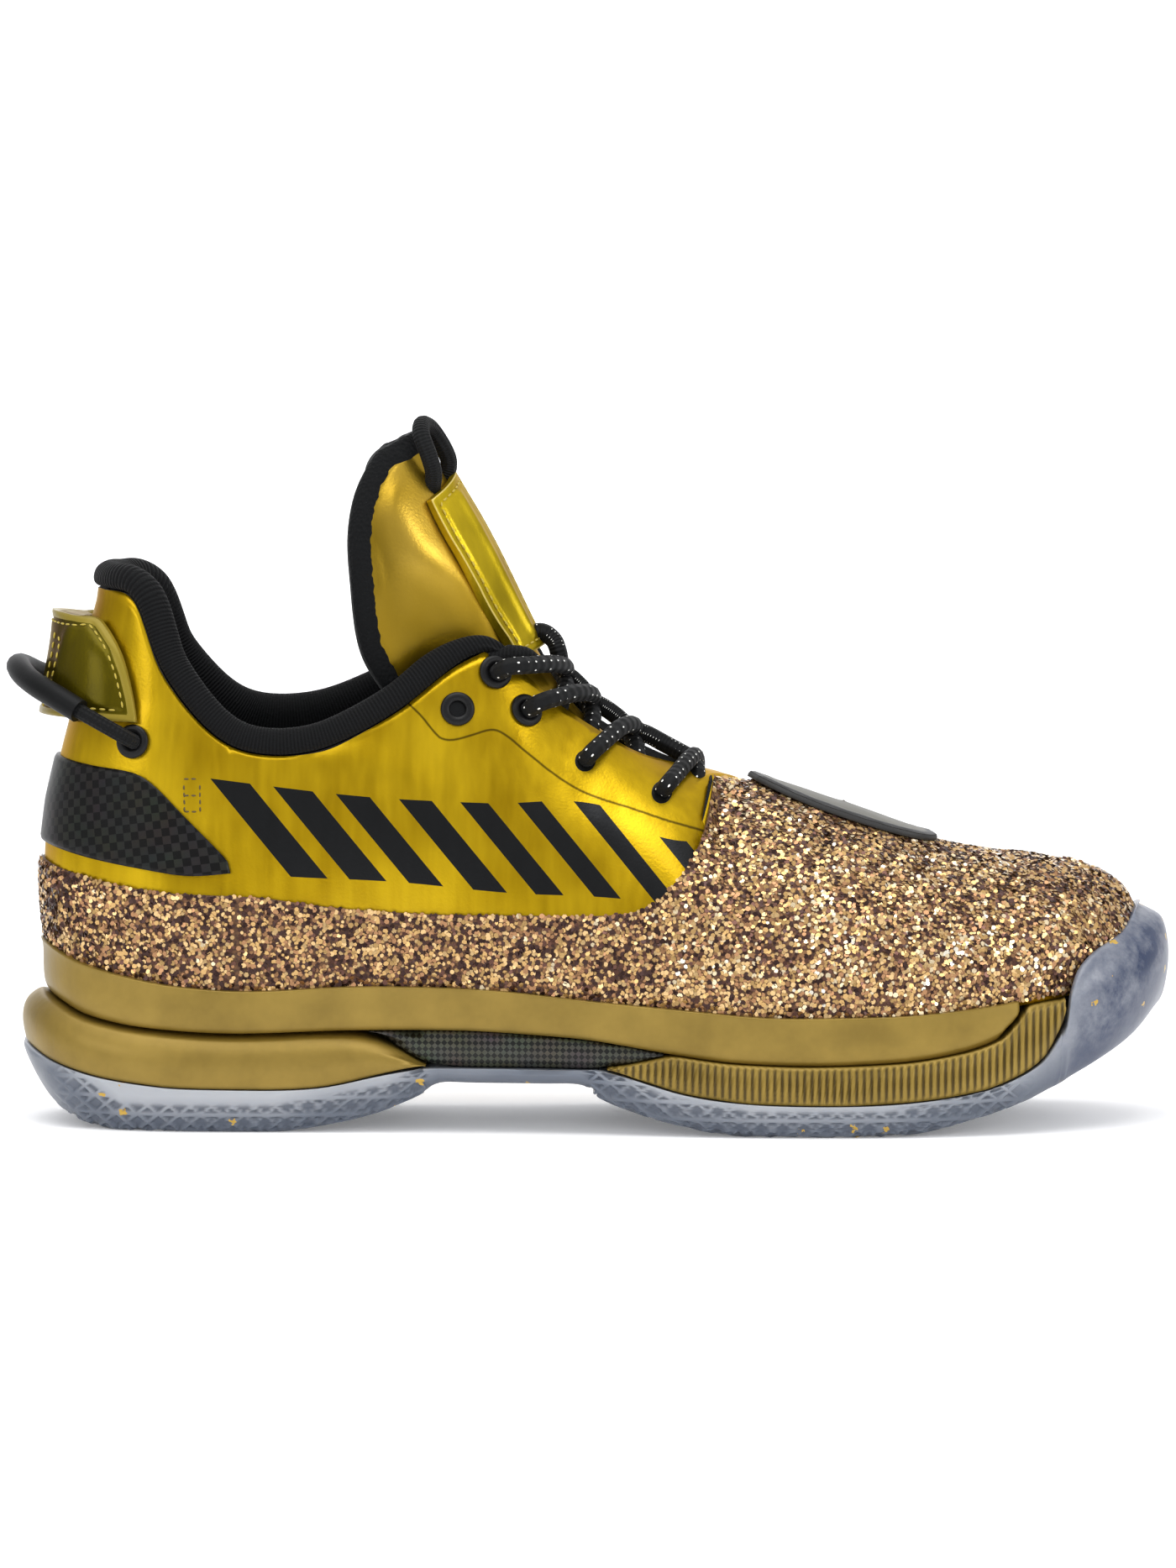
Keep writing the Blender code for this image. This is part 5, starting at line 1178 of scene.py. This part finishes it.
# The tab's olive film is painted darker than the keeper's: painted shade for the dark surroundings that it
# mirrors.
shaded_tab_film = edge_film("olive_tab_film", "#3A3402", "#605505", "#7E6F28", TAB_RIM_MM)
place_piece("film_heel_tab", tab_mesh, [shaded_tab_film, shaded_tab_film], ["heel_tab"])
tab_tree = face_tree(tab_mesh)
tab_rows = [sewn_inside(tab_tree, rim_of(tab_mesh), TAB_RIM_MM + 1.0)]
TAB_SEAM_Z = np.arange(131, 110, -0.5)
TAB_SEAM_OFF = 2.4             # from a fold to the rows beside it
for y in TAB_FOLDS:
    for beside in (-TAB_SEAM_OFF, TAB_SEAM_OFF):
        tab_rows.append(on_surface(tab_tree, [(-150, SHOE_MIDDLE + y + beside, z) for z in TAB_SEAM_Z]))
place_piece("tab_stitches", thread_mesh(tab_rows), thread)
# A small bar of stitches on each side of the heel holds the layers there together: its x and heights.
TACK_X = (-105.8, -101.4)
TACK_Z = (84.5, 89.0, 93.5)
upper_faces = face_tree(upper_mesh)
up_tack = np.arange(TACK_Z[0], TACK_Z[-1], 0.5)
over_tack = np.arange(TACK_X[0], TACK_X[1] + 0.5, 0.5)
tack_rows = []
for y in (-40, 40):
    tack_rows += [on_surface(upper_faces, [(x, y, z) for z in up_tack]) for x in TACK_X]
    tack_rows += [on_surface(upper_faces, [(x, y, z) for x in over_tack]) for z in TACK_Z]
place_piece("heel_tack_stitches", thread_mesh(tack_rows, 1.3, 0.6, 0.28),
            sewing_thread("brown_sewing_thread", "#4E3F0C"))


# Heel pull: a black cord through one hole each side of the heel, its bend covered by a rubber sleeve.
# Matt rubber: moulded, with a fine grain.
sleeve_rubber, sleeve_tree, sleeve_shader = new_material("matt_black_rubber", {
    "Base Color": linear("#090A0B"), "Roughness": 0.5, "Specular IOR Level": 0.15})
grain(sleeve_tree, sleeve_shader, grain_mm=0.8, strength=0.15, depth_mm=0.2)
PULL_HALF = ((-132.4, 31.1, 109.6), (-137.9, 27.8, 112.7), (-142.9, 22.65, 115.2), (-146.4, 16.65, 117.1),
             (-148.5, 10.95, 118.6), (-149.6, 5.4, 119.5), (-150.0, 0, 119.7))
PULL_CORD = ((-136.2, 29.0, 111.8), (-132.4, 31.1, 109.6), (-126.6, 32.5, 106.4), (-121.0, 32.2, 103.2),
             (-118.4, 29.6, 101.6), (-117.4, 25.5, 101.0))
SLEEVE_RADIUS = 3.2
PULL_CORD_RADIUS = 2.0
sleeve_route = on_side(PULL_HALF, -1) + on_side(PULL_HALF[-2::-1], 1)
place_piece("rubber_pull_sleeve", cord_mesh("sleeve", sleeve_route, SLEEVE_RADIUS, 5), sleeve_rubber,
            ["heel_loop_sleeve"])
pull_braid = braid("black_pull_cord", "#0C0D0E", 5, 14, 2.0)
for side, sign in (("lateral", -1), ("medial", 1)):
    cord = cord_mesh("pull_cord", on_side(PULL_CORD, sign), PULL_CORD_RADIUS)
    place_piece("pull_cord_" + side, cord, pull_braid, ["heel_loop_cord_" + side])


# Eyelets: pressed washers of black plastic, one at each hole that takes wear.
# Moulded plastic: black, with a soft gloss.
eyelet_plastic, eyelet_tree, eyelet_shader = new_material("black_plastic", {
    "Base Color": linear("#0B0B0C"), "Roughness": 0.4, "Specular IOR Level": 0.25})
grain(eyelet_tree, eyelet_shader, grain_mm=0.6, strength=0.1, depth_mm=0.1)
# A washer's name, its centre as x, y, z and the way that it faces.
EYELETS = (
    ("eyelet_top_lateral", (-24.4, -24.7, 119.3), (0.38, -0.88, 0.28)),
    ("eyelet_top_medial", (-24.4, 27.2, 119.3), (0.33, 0.91, 0.25)),
    ("eyelet_second_lateral", (-16.4, -24.3, 109.2), (0.5, -0.77, 0.4)),
    ("eyelet_second_medial", (-16.4, 26.9, 109.2), (0.43, 0.84, 0.33)),
    ("eyelet_spare_lateral", (-34.0, -29.3, 110.0), (0.09, -0.97, 0.23)),
    ("eyelet_spare_medial", (-33.9, 31.0, 110.0), (0.12, 0.98, 0.16)),
    ("heel_ring_lateral", (-118.4, -26.6, 101.4), (-0.36, -0.92, 0.14)),
    ("heel_ring_medial", (-118.4, 29.1, 101.4), (-0.34, 0.93, 0.14)),
)
WASHER_RADIUS = 3.25
WASHER_HALF_WIDTH = 1.25
WASHER_HALF_HEIGHT = 0.85
WASHER_LIFT = 0.9              # its middle over the cloth
for node, centre, facing in EYELETS:
    form = bmesh.new()
    ring = bmesh.ops.create_circle(form, segments=14, radius=MM)["verts"]
    bmesh.ops.scale(form, vec=(WASHER_HALF_WIDTH, WASHER_HALF_HEIGHT, 1), verts=ring)
    bmesh.ops.rotate(form, cent=(0, 0, 0), matrix=Matrix.Rotation(math.pi / 2, 3, "X"), verts=ring)
    bmesh.ops.translate(form, vec=(WASHER_RADIUS * MM, 0, 0), verts=ring)
    bmesh.ops.spin(form, geom=form.verts[:] + form.edges[:], cent=(0, 0, 0), axis=(0, 0, 1), dvec=(0, 0, 0),
                   angle=2 * math.pi, steps=40, use_merge=True)
    bmesh.ops.recalc_face_normals(form, faces=form.faces)
    stand = Vector(facing).normalized()
    seat = Matrix.Translation((Vector(centre) + stand * WASHER_LIFT) * MM)
    bmesh.ops.transform(form, verts=form.verts,
                        matrix=seat @ stand.to_track_quat("Z", "Y").to_matrix().to_4x4())
    place_piece("washer_" + node, mesh_from(form, node), eyelet_plastic, [node])


# Laces: round braided cord, black with white flecks, crossed over the tongue. Every strand comes out
# of a hole, runs over the edge of the throat and goes under the cloth on the other side.
lace_braid = braid("black_lace_with_white_flecks", "#0C0D0E", 3, 9, 0.9)
# Per crossing: the hole on the outer side, the points that the upper strand passes, and its far end.
LACE_ROUTES = (
    ((-24.4, -24.7, 119.3), (-21.0, -29.6, 121.0), (-15.2, -24.5, 121.3), (-9.8, -14.0, 121.0),
     (-6.0, 0.0, 119.4), (-6.8, 10.0, 115.2), (-8.5, 17.0, 107.5)),
    ((-16.4, -24.3, 109.2), (-13.0, -28.8, 111.5), (-7.2, -22.5, 113.0), (-2.2, -12.5, 113.4),
     (1.0, 0.0, 112.0), (0.8, 9.5, 107.6), (-0.5, 15.0, 100.0)),
    ((-0.7, -24.5, 96.3), (0.8, -26.4, 98.4), (4.6, -20.5, 101.5), (8.8, -11.0, 104.3),
     (12.0, 0.0, 104.0), (12.8, 8.5, 99.8), (12.2, 13.0, 92.5)),
    ((19.3, -22.2, 87.9), (20.6, -23.6, 89.9), (23.2, -17.0, 92.4), (25.8, -9.0, 94.9),
     (28.0, 0.0, 96.0), (28.6, 7.0, 93.2), (28.2, 10.5, 87.0)),
)
# How far the inner side's strand runs below the outer's at each point, and the share of it per crossing.
UNDER_DROP = (0.0, 0.0, 1.2, 3.0, 4.4, 3.6, 2.0)
UNDER_SHARE = (1.0, 1.0, 1.0, 0.5)
LACE_RADIUS = 2.35
LACE_TUCK = (-1.0, 4.0, -1.5)  # from a hole to where its strand starts inside
for number, (route, under) in enumerate(zip(LACE_ROUTES, UNDER_SHARE), 1):
    strands = []
    for sign, share in ((1, 0.0), (-1, under)):
        turned = [(x, SHOE_MIDDLE + sign * (y - SHOE_MIDDLE), z - share * drop)
                  for (x, y, z), drop in zip(route, UNDER_DROP)]
        inner = np.array(turned[0]) + (LACE_TUCK[0], sign * LACE_TUCK[1], LACE_TUCK[2])
        strands.append(cord_mesh("lace", [inner] + turned[1:], LACE_RADIUS))
    joined = bmesh.new()
    for strand in strands:
        joined.from_mesh(strand)
    place_piece("lace_%d" % number, mesh_from(joined, "lace"), lace_braid,
                ["lace_crossing_%d" % number])
# The lace comes down out of the keeper and runs on from crossing to crossing on the inner side.
LACE_RUNS = (
    ((-18.0, -1.0, 127.0), (-12.6, -1.5, 128.8), (-9.2, -2.0, 126.8), (-7.8, -2.5, 123.6),
     (-7.2, -1.0, 119.6)),
    ((-7.5, 4.0, 118.0), (-4.8, 5.5, 116.6), (-1.8, 5.5, 113.8), (0.8, 4.0, 110.5)),
    ((0.8, 4.0, 110.2), (4.0, 5.0, 108.6), (7.4, 5.0, 106.2), (11.0, 3.5, 103.0)),
    ((12.0, 3.5, 102.6), (15.6, 4.0, 101.4), (20.4, 4.0, 98.8), (26.5, 2.5, 95.6)),
)
for number, route in enumerate(LACE_RUNS, 1):
    place_piece("lace_run_%d" % number, cord_mesh("lace", route, LACE_RADIUS), lace_braid)


# Toe badge: a bare oval of dark rubber with a bevelled rim, welded on the vamp.
# Moulded rubber: dark, with a paler grain on the face.
badge_rubber, badge_tree, badge_shader = new_material("dark_moulded_rubber",
                                                      {"Roughness": 0.5, "Specular IOR Level": 0.4})
badge_cut = add(badge_tree, "ShaderNodeAttribute", {"attribute_name": "rim"})
badge_in = add(badge_tree, "ShaderNodeMapRange", {"From Min": 2.6, "From Max": 3.2},
               {"Value": badge_cut.outputs["Fac"]})
badge_tint = add(badge_tree, "ShaderNodeMix",
                 {"data_type": "RGBA", 6: linear("#2A2A2A"), 7: linear("#56544B")},
                 {0: badge_in.outputs[0]})
badge_tree.links.new(badge_tint.outputs[2], badge_shader.inputs["Base Color"])
grain(badge_tree, badge_shader, grain_mm=0.7, strength=0.2, depth_mm=0.2)
badge_form = merged_copy("toe_badge")
badge_face = one_face(badge_form, Vector((0.07, 0.003, 0.12)), 45)
badge_rim = boundary_of(badge_form, badge_face)
badge_mesh = rounded(badge_form, 3, 28, 0.3)
badge_gap = gap_to(points_of(badge_mesh), badge_rim)
keep_value(badge_mesh, "rim", badge_gap)
push(badge_mesh, -0.4 * smooth_step(badge_gap, 2.2, 3.2) - 0.5 * (1 - smooth_step(badge_gap, 0.0, 1.2)))
BADGE_SMOOTHING = 8            # rounds that even out its face
badge_at = points_of(badge_mesh)
badge_flat = smooth_step(badge_gap, 4.0, 6.0)[:, None]
badge_even = neighbour_mean(badge_mesh, badge_at, BADGE_SMOOTHING)
move_to(badge_mesh, badge_at + badge_flat * (badge_even - badge_at))
place_piece("rubber_toe_badge", badge_mesh, badge_rubber, ["toe_badge"])
